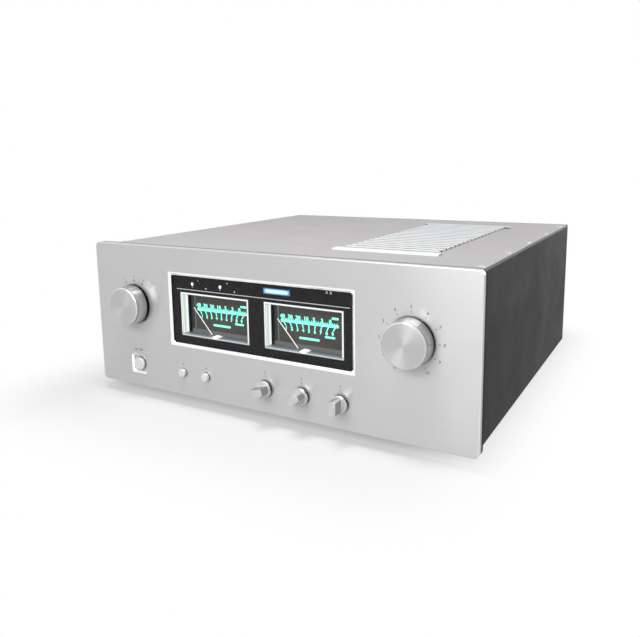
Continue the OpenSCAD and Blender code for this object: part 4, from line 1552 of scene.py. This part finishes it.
@dataclass
class BigKnob(TurnedKnob):
    """Large turned knob with a groove behind its bevelled rim."""
    base_r: float = 21.5
    face_r: float = 19.9
    length: float = 16.5
    groove: Triple = (13.3, 14.3, 0.9)
    bore: Pair = (3.02, 11.0)

    def build(self) -> None:
        """Turns the knob, notches it and dresses it."""
        hole, deep = self.bore
        low, high, cut = self.groove
        face, top = self.face_r, self.length
        profile = [
            (0, deep), (hole, deep), (hole, 0), (self.base_r - 0.4, 0), (self.base_r, 0.4),
            (face + 0.15, low - 0.25), (face, low), (face - cut, low + 0.1), (face - cut, high - 0.1),
            (face, high), (face, top - 1.2), (face - 0.1, top - 1.0), (face - 1.1, top - 0.1),
            (face - 1.35, top), (face * 0.5, top), (0, top),
        ]
        knob = Bench.turned(f"{self.name}_dial", profile, steps=96)
        self.finish(Bench.cut(knob, self.notch_cutter(self.base_r)))


@dataclass
class ToneKnob(TurnedKnob):
    """Small knob: a round base with a finger vane."""
    base_r: float = 8.4
    base_h: float = 4.0
    vane_r: float = 6.9
    vane_w: float = 7.0
    length: float = 15.0
    bore: Pair = (3.02, 10.0)
    fillet: float = 0.9
    clear: float = 12.0

    def build(self) -> None:
        """Turns the knob, cuts its two flats and its notch, and dresses it."""
        hole, deep = self.bore
        base, foot, vane, top = self.base_r, self.base_h, self.vane_r, self.length
        profile = [
            (0, deep), (hole, deep), (hole, 0), (base - 0.2, 0), (base, 0.3), (base, foot - 0.7),
            (base - 0.2, foot - 0.25), (base - 0.7, foot), (vane, foot), (vane, top - 0.6),
            (vane - 0.2, top - 0.2), (vane - 0.6, top), (0, top),
        ]
        knob = Bench.turned(f"{self.name}_tone_knob", profile, steps=72)
        Bench.cut(knob, self.flat_cutter(1), self.flat_cutter(-1), self.notch_cutter(base))
        self.finish(knob)

    def metal(self) -> SpunMetal:
        """Spun finish with a bright base, and the vane's sides and flats painted darker than the face, a
        painted shade.
        """
        # painted shade: side makes the vane's sides and flats darker than the face
        return SpunMetal(
            f"spun_{self.name}", paint(204), 0.34, self.centre(), band=1.8, metal=0.3,
            side=paint(172, 173, 174), root=paint(228), fade=(self.base_h + 0.02, self.base_h + 0.3))

    def flat_cutter(self, side: int) -> Piece:
        """Cutter of one flat, rounded where it meets the base.

        Args:
            side: 1 for the right flat, -1 for the left one.

        Returns:
            The cutter.
        """
        near, far = mm(side * self.vane_w / 2, side * self.clear)
        low = Vector((min(near, far), *mm(-self.clear, self.base_h)))
        high = Vector((max(near, far), *mm(self.clear, self.length + 2)))

        def inner(a: Vector, b: Vector) -> bool:
            """Whether an edge is the one in the corner between flat and base."""
            return max(abs(a.x - near), abs(b.x - near), a.z - low.z, b.z - low.z) < TINY

        return Bench.bevel(Bench.block("flat_cutter", low, high), inner, self.fillet, segments=4)


@dataclass
class PushButton:
    """Push button: a domed, bevelled head on its stem; sizes in millimetres."""
    node: str
    body: Body
    sink: float = 0.0
    head_back: float = 4.0
    stem_r: float = 2.0
    edge: float = 0.6
    # dark: how far the painted shadow ring reaches past the panel's face; fade: length of the painted shade
    # above it
    dark: float = 0.3
    fade: float = 1.5

    def build(self) -> None:
        """Turns the button and dresses it, with a painted shadow ring and painted shade at its base."""
        low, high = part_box(self.node)
        mid = middle(self.node)
        radius = (high.x - low.x) / 2 / MM
        top = (high.y - low.y) / MM
        neck = (high.y - FRONT) / MM - self.head_back
        profile = [
            (0, 0), (self.stem_r - 0.2, 0), (self.stem_r, 0.2), (self.stem_r, neck), (radius, neck),
            (radius, top - self.edge), (radius - 0.12, top - 0.3), (radius - 0.4, top - 0.1),
            (radius - 0.7, top - 0.03), (radius * 0.5, top), (0, top),
        ]
        button = Bench.turned(f"{self.node}_cap", profile, steps=64)
        Bench.place(button, (mid.x, high.y, mid.z), AHEAD)
        # painted shadow ring at the base, and painted shade that darkens the flank towards the panel
        band = self.head_back - self.sink + self.dark
        finish = SpunMetal(
            f"spun_{self.node}", paint(228), 0.33, (mid.x, FRONT + self.head_back * MM, mid.z),
            stretch=0.5, band=band, fade=(band, band + self.fade), side_metal=0.6, side=paint(236))
        Bench.hand_over(button, self.body, Slot.TURNED, finish, [self.node], angle=28)


@dataclass
class MeterFrame:
    """Lit frame of a meter: a lining with softened edges and a low round nub; sizes in millimetres."""
    side: str
    wall: float = LitFrame.wall
    edge: float = 0.3
    clear: float = 5.0
    nub_wide: float = 3.8
    nub_tall: float = 1.4
    nub_depth: Pair = (0.6, 6.5)

    def build(self) -> None:
        """Makes the frame with its nub and dresses it."""
        node = f"meter_frame_{self.side}"
        low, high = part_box(node)
        inset = Vector(mm(self.wall, -self.clear, self.wall))
        lining = Bench.cut(Bench.block("lining", low, high), Bench.block("well", low + inset, high - inset))
        Bench.bevel(lining, on_front(low.y), self.edge, segments=2)
        ring = Bench.join(f"lit_lining_{self.side}", [lining, self.nub(low, high)])
        Bench.hand_over(ring, Body.CHASSIS, Slot.LIT, LitFrame.of(self.side), [node], angle=30)

    def nub(self, low: Vector, high: Vector) -> Piece:
        """Low round nub in the middle of the lower ledge.

        Args:
            low: lowest corner of the frame.
            high: highest corner of the frame.

        Returns:
            The nub.
        """
        start, end = self.nub_depth
        profile = [
            (0, -end), (0.92, -end), (1, -end + 0.4), (1, -start - 0.5), (0.9, -start - 0.1),
            (0.7, -start), (0, -start),
        ]
        shape = Matrix.Diagonal((self.nub_wide, self.nub_tall, 1, 1))
        spot = Vector(((low.x + high.x) / 2, low.y, low.z + self.wall * MM))
        return Bench.place(Bench.turned("nub", profile, steps=48), spot, AHEAD @ shape)


@dataclass
class MeterNeedle:
    """Tapered meter needle with its hub, tail and spindle; sizes in millimetres."""
    side: str
    body: Body
    rest: float = 40.8
    reach: float = 52.0
    tail: float = 5.0
    root: float = 0.95
    tip: float = 0.65
    blade: float = 0.6
    blade_sunk: float = 0.02
    blade_edge: float = 0.12
    hub_r: float = 3.0
    hub_h: float = 2.5
    hub_edge: float = 0.5
    spindle_r: float = 1.0

    def build(self) -> None:
        """Makes the needle and dresses it."""
        node = f"meter_needle_{self.side}"
        low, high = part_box(node)
        deep = (high.y - low.y) / MM - self.hub_h
        profile = [
            (0, -deep), (self.spindle_r, -deep), (self.spindle_r, 0), (self.hub_r, 0),
            (self.hub_r, self.hub_h - self.hub_edge), (self.hub_r - self.hub_edge, self.hub_h),
            (0, self.hub_h),
        ]
        hub = Bench.turned("hub", profile, steps=32)
        needle = Bench.join(f"{node}_pointer", [hub, self.pointer()])
        pivot = self.pivot()
        turn = AHEAD @ Matrix.Rotation(math.radians(self.rest), 4, "Z")
        Bench.place(needle, (pivot.x, low.y + self.hub_h * MM, pivot.z), turn)
        finish = NeedlePaint(f"needle_paint_{self.body.value}", paint(240, 235, 231), 0.4,
                             tuple(pivot), self.hub_r)
        Bench.hand_over(needle, self.body, Slot.NEEDLE, finish, [node], angle=30)

    def pointer(self) -> Piece:
        """Blade that tapers to the tip, with its tail.

        Returns:
            The blade.
        """
        top = self.hub_h - self.blade_sunk
        blade = Bench.block("blade", Vector(mm(-self.root / 2, -self.tail, self.hub_h - self.blade)),
                            Vector(mm(self.root / 2, self.reach, top)))
        Bench.pick(blade, Pick.FACES, lambda spot, normal: normal.y > SQUARE)
        bpy.ops.transform.resize(value=(self.tip / self.root, 1, 1), center_override=mm(0, self.reach, 0))
        return Bench.bevel(blade, on_top(top * MM), self.blade_edge, segments=2)

    def pivot(self) -> Vector:
        """Place of the joint that the needle swings on."""
        joint = next(one for one in frame["joints"] if one["child"] == self.body.value)
        return Vector(joint["pos_m"])


@dataclass
class MeterScale:
    """Glowing scale of a meter, in millimetres from the meter's middle and the panel's lower edge."""
    numbers: tuple[str, ...] = ("40", "30", "20", "10", "5", "3", "0")
    number_x: Pair = (-30.6, 21.6)
    number_z: float = 93.6
    number_size: float = 5.4
    band: Pair = (-32.6, 30.5)
    band_z: float = 89.8
    band_h: float = 3.0
    band_lean: float = -0.6
    ticks: int = 25
    tick: Pair = (0.6, 1.8)
    tick_margin: float = 2.0
    tick_rise: float = 0.7
    levels: tuple[str, ...] = ("1", "2", "3", "4", "5", "6", "7", "8", "9")
    level_x: Pair = (-26.6, 24.0)
    level_z: float = 82.2
    level_size: float = 4.6
    level_tick: Pair = (1.1, 4.6)
    level_flare: float = 1.06
    level_rise: float = 0.6
    weight: float = 0.22
    bars: tuple[tuple[float, float, float, float], ...] = (
        (-1.1, 74.65, 22.0, 2.2), (21.2, 78.85, 10.8, 2.0), (26.7, 97.2, 7.2, 2.2))

    def build(self) -> None:
        """Makes one scale, copies it to the other meter and dresses both."""
        left, right = (middle(f"meter_frame_{side}") for side in SIDES)
        first = Bench.join("meter_scale_left", self.marks(left))
        second = Bench.copy(first, right - left)
        second.name = "meter_scale_right"
        for scale in (first, second):
            Bench.hand_over(scale, Body.CHASSIS, Slot.DIAL, SCALE_INK)

    def marks(self, mid: Vector) -> list[Piece]:
        """Numbers, band, ticks that point at the needle's pivot, and bars of one scale.

        Args:
            mid: middle of the meter's frame.

        Returns:
            The marks as loose pieces.
        """
        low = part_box("front_panel")[0].z
        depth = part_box("meter_dial_left")[0].y
        pivot = (middle("meter_movements").z - low) / MM

        def at(x: float, z: float) -> Vector:
            """Point on the dial card."""
            return Vector((mid.x + x * MM, depth, low + z * MM))

        def lean(x: float, z: float) -> float:
            """Lean of a tick that points at the pivot."""
            return math.degrees(math.atan2(x, z - pivot))

        start, end = self.band
        slope = math.tan(math.radians(-self.band_lean))
        made = [Bench.bar(at((start + end) / 2, self.band_z), end - start, self.band_h, self.band_lean)]
        for i in range(self.ticks):
            x = self.spread((start + self.tick_margin, end - self.tick_margin), i, self.ticks)
            z = self.band_z + x * slope + self.band_h * self.tick_rise
            made.append(Bench.bar(at(x, z), *self.tick, lean(x, z)))
        for i, words in enumerate(self.numbers):
            x = self.spread(self.number_x, i, len(self.numbers))
            made.append(Bench.letters(words, self.number_size, at(x, self.number_z), weight=self.weight))
        for i, words in enumerate(self.levels):
            x = self.spread(self.level_x, i, len(self.levels))
            z = (self.level_z + self.band_z) / 2 + self.level_rise
            made.append(Bench.bar(at(x * self.level_flare, z), *self.level_tick, lean(x, z)))
            made.append(Bench.letters(words, self.level_size, at(x, self.level_z), weight=self.weight))
        return made + [Bench.bar(at(x, z), wide, tall) for x, z, wide, tall in self.bars]

    @staticmethod
    def spread(ends: Pair, i: int, count: int) -> float:
        """Place of one of several marks that are spread evenly between two ends."""
        return ends[0] + (ends[1] - ends[0]) * i / (count - 1)


@dataclass
class WindowPrint:
    """Small pale marks on the mask behind the glass, in millimetres from the panel's lower left corner."""
    lift: float = 0.04
    line: Triple = (112.7, 312.2, 112.3)
    line_h: float = 0.55
    dots: Pair = (151.0, 186.6)
    dot_z: float = 115.1
    dot_r: float = 0.75
    lamps: Pair = (133.4, 168.8)
    lamp_mark: Pair = (0.9, 1.2)
    lamp_mark_z: float = 115.6
    words: tuple[tuple[str, float, float, float], ...] = (
        ("L", 141.0, 122.6, 2.4), ("R", 178.0, 122.6, 2.4), ("A  B", 291.2, 124.0, 3.6))

    def build(self) -> None:
        """Makes the marks and dresses them."""
        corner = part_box("front_panel")[0]
        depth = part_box("display_mask")[0].y

        def at(x: float, z: float) -> Vector:
            """Point on the mask."""
            return Vector((corner.x + x * MM, depth, corner.z + z * MM))

        start, end, z = self.line
        made = [Bench.bar(at((start + end) / 2, z), end - start, self.line_h, lift=self.lift)]
        made += [Bench.dot(at(x, self.dot_z), self.dot_r, self.lift) for x in self.dots]
        made += [Bench.bar(at(x, self.lamp_mark_z), *self.lamp_mark, lift=self.lift) for x in self.lamps]
        made += [Bench.letters(words, size, at(x, z), lift=self.lift) for words, x, z, size in self.words]
        marks = Bench.join("window_marks", made)
        Bench.hand_over(marks, Body.CHASSIS, Slot.MASK, PALE_INK)


@dataclass
class PanelPrint:
    """Dark print on the face plate: plain numbers, ticks and dots round the controls; in millimetres."""
    ring: float = 29.0
    ring_size: float = 4.0
    ring_ticks: float = 25.0
    ring_tick: Pair = (0.45, 1.8)
    sweep: float = 150.0
    steps: int = 10
    sources: int = 3
    source_dots: float = 25.4
    source_dot: float = 0.9
    source_numbers: float = 29.4
    source_size: float = 3.4
    source_step: float = 28.0
    tone_reach: float = 12.2
    tone_tick: Pair = (0.4, 1.8)
    tone_dot: float = 0.45
    tone_number: float = 15.6
    tone_size: float = 3.0
    buttons: tuple[tuple[str, float, str, float], ...] = (
        ("ON  OFF", 3.2, "power_button", 15.6), ("A", 3.0, "speaker_button_a", 8.6),
        ("B", 3.0, "speaker_button_b", 8.6))

    def build(self) -> None:
        """Makes the print and dresses it."""
        made = self.volume_marks() + self.source_marks() + self.tone_marks() + self.button_marks()
        Bench.hand_over(Bench.join("panel_print", made), Body.CHASSIS, Slot.FACE, BLACK_INK)

    @staticmethod
    def around(node: str, radius: float, angle: float = 0.0) -> Vector:
        """Point on the panel round a node's middle.

        Args:
            node: CAD node in the middle.
            radius: distance in millimetres.
            angle: degrees clockwise from the top.

        Returns:
            The point on the panel's face.
        """
        turn = math.radians(angle)
        return on_face(node) + Vector((math.sin(turn), 0, math.cos(turn))) * radius * MM

    def volume_marks(self) -> list[Piece]:
        """Numbers from 0 to 10 and their ticks round the volume knob.

        Returns:
            The marks.
        """
        made = []
        for i in range(self.steps + 1):
            angle = -self.sweep + 2 * self.sweep * i / self.steps
            number, tick = (self.around("volume_shaft", far, angle) for far in (self.ring, self.ring_ticks))
            made.append(Bench.letters(str(i), self.ring_size, number))
            made.append(Bench.bar(tick, *self.ring_tick, angle))
        return made

    def source_marks(self) -> list[Piece]:
        """Dots and numbers above the source selector.

        Returns:
            The marks.
        """
        made = []
        for i in range(self.sources):
            angle = (i - 1) * self.source_step
            dot = self.around("selector_shaft", self.source_dots, angle)
            number = self.around("selector_shaft", self.source_numbers, angle)
            made += [Bench.dot(dot, self.source_dot), Bench.letters(str(i + 1), self.source_size, number)]
        return made

    def tone_marks(self) -> list[Piece]:
        """A tick and a nought above each tone knob, and a dot at each end of its turn.

        Returns:
            The marks.
        """
        made = []
        for node in (f"{name}_shaft" for name in TONES):
            made.append(Bench.bar(self.around(node, self.tone_reach), *self.tone_tick))
            made.append(Bench.letters("0", self.tone_size, self.around(node, self.tone_number)))
            for angle in (-self.sweep, self.sweep):
                made.append(Bench.dot(self.around(node, self.tone_reach, angle), self.tone_dot))
        return made

    def button_marks(self) -> list[Piece]:
        """Plain marks above the buttons."""
        return [Bench.letters(words, size, self.around(node, rise))
                for words, size, node, rise in self.buttons]


@dataclass
class Cover:
    """Flat cover with softened edges, its vent and its screw holes; sizes in millimetres."""
    edge: float = 0.5
    vent: Pair = (87.0, 256.5)
    vent_x: float = 97.0
    vent_front: float = -130.35
    clear: float = 1.0
    screws: int = 5
    screw_hole: float = 1.6
    screw_x: float = 204.0
    screw_front: float = -176.25
    screw_pitch: float = 85.0

    def build(self) -> None:
        """Makes the cover and dresses it."""
        low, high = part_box("top_cover")
        lid = Bench.bevel(Bench.block("cover_plate", low, high), on_top(high.z), self.edge, segments=3)
        wide, long = self.vent
        left, front, back = self.vent_x - wide / 2, self.vent_front, self.vent_front + long
        opening = Bench.block("opening", Vector((*mm(left, front), low.z - self.clear * MM)),
                              Vector((*mm(left + wide, back), high.z + self.clear * MM)))
        spots = [
            Vector((*mm(side * self.screw_x, self.screw_front + self.screw_pitch * i), (low.z + high.z) / 2))
            for side in (-1, 1) for i in range(self.screws)]
        holes = Bench.join("holes", [Bench.drill(self.screw_hole, spot, LEVEL, steps=24) for spot in spots])
        Bench.cut(lid, opening, holes)
        Bench.hand_over(lid, Body.CHASSIS, Slot.COVER, COVER_PAINT, ["top_cover"], angle=30)


@dataclass
class Grille:
    """Raised slats with rounded edges, joined by ribs in the cover's opening; sizes in millimetres."""
    count: int = 20
    pitch: float = 13.5
    width: float = 9.8
    slat: float = 99.0
    end_bar: float = 111.0
    height: float = 2.0
    round: float = 0.3
    ribs: int = 3
    rib: float = 3.0
    rib_span: float = 86.8
    rib_end: float = 5.0
    rib_lap: float = 0.2
    rib_edge: float = 0.4

    def build(self) -> None:
        """Makes one slat, copies it along the opening, adds bars and ribs, and dresses the grille."""
        low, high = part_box("top_grille")
        mid = (low + high) / 2
        slat = self.strip(self.slat, mid.x, low.y + self.pitch * MM, high.z)
        made = [slat] + [Bench.copy(slat, mm(0, self.pitch * i, 0)) for i in range(1, self.count - 2)]
        bar = self.strip(self.end_bar, mid.x, low.y, high.z)
        made += [bar, Bench.copy(bar, mm(0, self.pitch * (self.count - 1), 0))]
        start = Vector((mid.x - self.rib_span / 2 * MM, low.y + self.rib_end * MM, low.z))
        end = Vector((start.x + self.rib * MM, high.y - self.rib_end * MM,
                      high.z - (self.height - self.rib_lap) * MM))
        rib = Bench.block("rib", start, end)
        Bench.bevel(rib, lambda a, b: max(a.z, b.z) < low.z + TINY, self.rib_edge, segments=2)
        step = (self.rib_span - self.rib) / (self.ribs - 1)
        made += [rib] + [Bench.copy(rib, mm(step * i, 0, 0)) for i in range(1, self.ribs)]
        grille = Bench.join("vent_grille", made)
        Bench.hand_over(grille, Body.CHASSIS, Slot.SLATS, SLAT_METAL, ["top_grille"], angle=40)

    def strip(self, length: float, x: float, start: float, top: float) -> Piece:
        """One slat with rounded upper edges.

        Args:
            length: length in millimetres.
            x: sideways place of its middle.
            start: front edge.
            top: upper face.

        Returns:
            The slat.
        """
        half = length / 2 * MM
        piece = Bench.block("slat", Vector((x - half, start, top - self.height * MM)),
                            Vector((x + half, start + self.width * MM, top)))
        return Bench.bevel(piece, on_top(top), self.round, segments=3)


@dataclass
class TerminalCaps:
    """Screw caps of the speaker terminals, with gripping ribs round their sides; sizes in millimetres."""
    radius: float = 8.0
    rib: float = 0.7
    rib_taper: float = 0.12
    rib_rise: float = 0.63
    rib_end: float = 2.0
    ribs: int = 24
    bore: float = 4.05

    def build(self) -> None:
        """Makes one cap, copies it to each terminal and dresses the caps."""
        low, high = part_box("terminal_cap_1")
        mid = (low + high) / 2
        long = (high.y - low.y) / MM
        core = self.radius - self.rib
        profile = [
            (self.bore, 0), (core - 0.4, 0), (core, 0.4), (core, 1.6), (core, long - 1.6),
            (core, long - 0.9), (core - 0.3, long - 0.3), (core - 0.9, long), (self.bore, long),
            (self.bore, 0),
        ]
        cap = Bench.turned("terminal_cap", profile, steps=2 * self.ribs)
        Bench.pick(cap, Pick.FACES, lambda spot, normal: self.on_rib(spot, long))
        bpy.ops.mesh.inset(thickness=self.rib_taper * MM, depth=self.rib_rise * MM, use_individual=True)
        bpy.ops.object.mode_set(mode="OBJECT")
        Bench.place(cap, (mid.x, low.y, mid.z), BACKWARD)
        caps = [cap] + [Bench.copy(cap, middle(f"terminal_cap_{i}") - mid) for i in (2, 3, 4)]
        bodies = (Body.CAP_1, Body.CAP_2, Body.CAP_3, Body.CAP_4)
        kinds = ((Slot.CAP_RED, RED_CAP), (Slot.CAP_BLACK, BLACK_CAP))
        for i, (piece, body) in enumerate(zip(caps, bodies), start=1):
            piece.name = f"screw_cap_{i}"
            Bench.hand_over(piece, body, *kinds[i % 2], [f"terminal_cap_{i}"], angle=30)

    def on_rib(self, spot: Vector, long: float) -> bool:
        """Whether a side face becomes a rib: every second one along the straight side.

        Args:
            spot: middle of the face.
            long: length of the cap.

        Returns:
            True for a rib.
        """
        straight = self.rib_end * MM < spot.z < (long - self.rib_end) * MM
        outside = math.hypot(spot.x, spot.y) > (self.bore + 1) * MM
        step = math.floor((math.atan2(spot.y, spot.x) + math.pi) / (2 * math.pi) * 2 * self.ribs)
        return straight and outside and step % 2 == 0


@dataclass
class RearPrint:
    """Plain numbers and signs beside the sockets and terminals on the rear panel; sizes in millimetres."""
    size: float = 5.0
    sign_size: float = 6.5
    sign_rise: float = 15.0
    socket_edge: float = 6.5
    socket_pitch: float = 25.0
    socket_count: int = 3
    number_rise: float = 6.0
    row_gap: float = 7.0
    pairs: tuple[tuple[str, float], ...] = (("L", -20.0), ("R", 44.0))
    pair_z: float = 42.0

    def build(self) -> None:
        """Makes the print and dresses it."""
        made = []

        def mark(words: str, x: float, z: float, size: float = self.size) -> None:
            """Adds one mark on the rear panel."""
            made.append(Bench.letters(words, size, Vector((x, BACK, z)), Facing.REAR))

        for i in range(1, 5):
            mid = middle(f"terminal_cap_{i}")
            sign = "+" if i % 2 == 0 else "-"
            mark(sign, mid.x, mid.z + self.sign_rise * MM, self.sign_size)
        low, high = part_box("input_sockets")
        for i in range(self.socket_count):
            x = low.x + (self.socket_edge + self.socket_pitch * i) * MM
            mark(str(i + 1), x, high.z + self.number_rise * MM)
        for words, z in (("L", high.z - self.socket_edge * MM), ("R", low.z + self.socket_edge * MM)):
            mark(words, low.x - self.row_gap * MM, z)
        for words, x in self.pairs:
            mark(words, x * MM, self.pair_z * MM)
        Bench.hand_over(Bench.join("rear_print", made), Body.CHASSIS, Slot.DARK, REAR_INK)


@dataclass
class CarriedParts:
    """CAD nodes that keep their shape and get a better finish."""

    def build(self) -> None:
        """Gives each node its finish."""
        for finish, nodes in self.finishes().items():
            for node in nodes.split():
                piece = frame["nodes"][node]
                piece.data.materials.clear()
                piece.data.materials.append(finish.material())
                LOG.info("%s keeps its shape, finish %s", node, finish.name)

    @staticmethod
    def finishes() -> dict[Finish, str]:
        """Finish of every carried node.

        Returns:
            The nodes that each finish is given to.
        """
        made: dict[Finish, str] = {
            FACE_METAL: "front_panel",
            TRIM_METAL: "window_bezel",
            GLASS: "window_glass",
            MASK_COAT: "display_mask",
            LAMP_WHITE: "indicator_lamps",
            SUB_BLACK: "sub_panel",
            BLACK_COAT: "side_panel_left side_panel_right base_plate rear_panel",
            COVER_PAINT: "top_cover",
            SLAT_METAL: "top_grille",
            NEEDLE_PAINT: "meter_needle_left meter_needle_right",
            BOARD: "display_board amplifier_board supply_board",
            PLATED: "meter_movements selector_shaft volume_shaft bass_shaft treble_shaft balance_shaft "
                    "volume_control tone_controls control_nuts foot_screws transformer_bolt "
                    "board_spacers selector_knob volume_knob bass_knob treble_knob balance_knob "
                    "power_button speaker_button_a speaker_button_b",
            SCREW_STEEL: "case_screws",
            DARK_PLASTIC: "meter_housing_left meter_housing_right selector_switch push_switches "
                          "output_transistors mains_inlet",
            RUBBER: "feet",
            WINDING: "transformer",
            SINK_BLACK: "heatsink",
            CAN_SLEEVE: "filter_capacitors",
            GOLD: "speaker_terminals input_sockets",
            BLACK_CAP: "terminal_cap_1 terminal_cap_3",
            RED_CAP: "terminal_cap_2 terminal_cap_4",
        }
        lamp = tuple(middle("pilot_lamp"))
        made[LampBar("pilot_blue", paint(44, 104, 150), 0.3, lamp)] = "pilot_lamp"
        for side in SIDES:
            made[LitFrame.of(side)] = f"meter_frame_{side}"
            made[DialCard.of(side)] = f"meter_dial_{side}"
        return made


@dataclass(frozen=True)
class Lamp:
    """A lamp that is turned to a target: a soft box where it has a size, or else a wide, far light."""
    name: str
    energy: float
    place: Point
    target: Point
    size: Pair | None = None
    angle: float = 0.0

    def build(self) -> None:
        """Adds the lamp to the scene."""
        light = bpy.data.lights.new(self.name, "AREA" if self.size else "SUN")
        light.energy = self.energy
        if self.size:
            light.shape = "RECTANGLE"
            light.size, light.size_y = self.size
        else:
            light.angle = math.radians(self.angle)
        place = Vector(self.place)
        turn = (Vector(self.target) - place).to_track_quat("-Z", "Y").to_matrix().to_4x4()
        holder = bpy.data.objects.new(self.name, light)
        bpy.context.scene.collection.objects.link(holder)
        holder.matrix_world = Matrix.Translation(place) @ turn


@dataclass
class Studio:
    """Camera at the photograph's angle, pale floor, soft lamps and a white surround."""
    eye: Point = (0.3503, -0.68795, 0.2526)
    yaw: float = 30.16
    pitch: float = 9.24
    roll: float = 0.78
    focal: float = 642.6
    image: Pair = (640.0, 637.0)
    middle_point: Pair = (321.3, 264.9)
    sensor: float = 36.0
    floor_size: float = 16.0
    floor_tone: Pair = (0.49, 0.51)
    floor_lift: float = 0.41
    shade_right: float = 0.12
    shade_reach: float = 0.14
    ambient: float = 0.08
    ambient_tint: Colour = (0.97, 0.985, 1.0)
    lamps: tuple[Lamp, ...] = (
        Lamp("key", 0.6, (-0.64, -1.58, 1.18), (0.0, -0.1, 0.1), angle=18),
        Lamp("top", 0.25, (0.8, 1.5, 2.1), (0.0, -0.1, 0.1), angle=60),
        Lamp("front_box", 5.8, (0.14, -1.2, 0.66), (0.1, -0.2, 0.09), (0.45, 0.45)),
        Lamp("low_box", 0.55, (0.0, -1.05, 0.14), (0.15, -0.2, 0.12), (0.3, 0.25)),
        Lamp("over_box", 5.4, (0.0, -0.42, 1.1), (0.0, -0.25, 0.1), (0.4, 0.4)),
        Lamp("back_box", 4.0, (0.5, 1.25, 0.45), (0.0, 0.2, 0.08), (0.6, 0.6)),
    )

    def build(self) -> None:
        """Sets up camera, floor, lamps and surround."""
        bpy.context.scene.view_settings.view_transform = "Standard"
        self.camera()
        self.floor()
        for lamp in self.lamps:
            lamp.build()
        self.surround()

    def camera(self) -> None:
        """Adds the camera from its angles and its focal length in image pixels."""
        yaw, pitch, roll = (math.radians(angle) for angle in (self.yaw, self.pitch, self.roll))
        ahead = Vector((-math.sin(yaw) * math.cos(pitch), math.cos(yaw) * math.cos(pitch), -math.sin(pitch)))
        level = Vector((math.cos(yaw), math.sin(yaw), 0))
        down = ahead.cross(level)
        right = level * math.cos(roll) + down * math.sin(roll)
        below = down * math.cos(roll) - level * math.sin(roll)
        wide, tall = self.image
        lens = bpy.data.cameras.new("camera")
        lens.sensor_fit = "HORIZONTAL"
        lens.sensor_width = self.sensor
        lens.lens = self.focal / wide * self.sensor
        lens.shift_x = (wide / 2 - self.middle_point[0]) / wide
        lens.shift_y = (self.middle_point[1] - tall / 2) / wide
        lens.clip_start = 0.01
        holder = bpy.data.objects.new("camera", lens)
        bpy.context.scene.collection.objects.link(holder)
        axes = Matrix((right, -below, -ahead)).transposed().to_4x4()
        holder.matrix_world = Matrix.Translation(self.eye) @ axes
        bpy.context.scene.camera = holder

    def floor(self) -> None:
        """Adds the pale floor, which keeps the shadow near the object and is white far away."""
        Bench.clear()
        bpy.ops.mesh.primitive_grid_add(x_subdivisions=8, y_subdivisions=8, size=self.floor_size)
        floor = bpy.context.object
        floor.name = "floor"
        made = bpy.data.materials.new("floor_white")
        made.use_nodes = True
        made.node_tree.nodes.clear()
        wires = Wiring(made.node_tree)
        seen = wires.seen()
        spot = wires.spot()
        low, high = CAD_BOX[0], Vector((self.shade_right, CAD_BOX[1].y, 0))
        offset = wires.vector("ABSOLUTE", wires.vector("SUBTRACT", spot, (low + high) / 2))
        outside = wires.vector("SUBTRACT", offset, (high - low) / 2)
        away = wires.length(wires.vector("MAXIMUM", outside))
        far = wires.span(away, 0.0, self.shade_reach, smooth=True)
        paper = wires.node("BsdfDiffuse", {
            "Color": wires.span(wires.noise(spot, 9.0, 3.0), 0, 1, *self.floor_tone)})
        lift = wires.node("Emission", {"Strength": wires.times(seen, self.floor_lift)})
        near = wires.node("AddShader", {0: paper.outputs[0], 1: lift.outputs[0]})
        white = wires.node("Emission", {"Strength": 1.0})
        both = wires.node("MixShader", {
            0: wires.times(seen, far), 1: near.outputs[0], 2: white.outputs[0]})
        wires.node("OutputMaterial", {"Surface": both.outputs[0]})
        floor.data.materials.append(made)

    def surround(self) -> None:
        """Surround that is white where it is seen and soft grey-white as a light."""
        world = bpy.data.worlds.new("surround")
        world.use_nodes = True
        world.node_tree.nodes.clear()
        wires = Wiring(world.node_tree)
        glow = wires.node("Background", {"Color": (*self.ambient_tint, 1), "Strength": self.ambient})
        white = wires.node("Background", {"Color": (1, 1, 1, 1), "Strength": 1.0})
        both = wires.node("MixShader", {0: wires.seen(), 1: glow.outputs[0], 2: white.outputs[0]})
        wires.node("OutputWorld", {"Surface": both.outputs[0]})
        bpy.context.scene.world = world


def write_sizes() -> None:
    """Brings the view layer up to date."""
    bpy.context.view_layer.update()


def main() -> None:
    """Builds every sub-assembly in order, then the studio."""
    logging.basicConfig(level=logging.INFO, format="%(message)s")
    assemblies = [
        CarriedParts(),
        FacePlate(),
        WindowBezel(),
        WindowPane(),
        IndicatorLamps(),
        MeterFrame("left"),
        MeterFrame("right"),
        BigKnob("volume", Body.VOLUME, 26.0),
        BigKnob("selector", Body.SELECTOR, 0.0),
        ToneKnob("bass", Body.BASS, 78.0),
        ToneKnob("treble", Body.TREBLE, 50.0),
        ToneKnob("balance", Body.BALANCE, 0.0),
        PushButton("power_button", Body.POWER, FacePlate.recess_depth),
        PushButton("speaker_button_a", Body.SPEAKER_A),
        PushButton("speaker_button_b", Body.SPEAKER_B),
        MeterNeedle("left", Body.NEEDLE_LEFT),
        MeterNeedle("right", Body.NEEDLE_RIGHT),
        MeterScale(),
        WindowPrint(),
        PanelPrint(),
        Cover(),
        Grille(),
        TerminalCaps(),
        RearPrint(),
        Studio(),
    ]
    for assembly in assemblies:
        assembly.build()
    write_sizes()


if __name__ == "__main__":
    main()
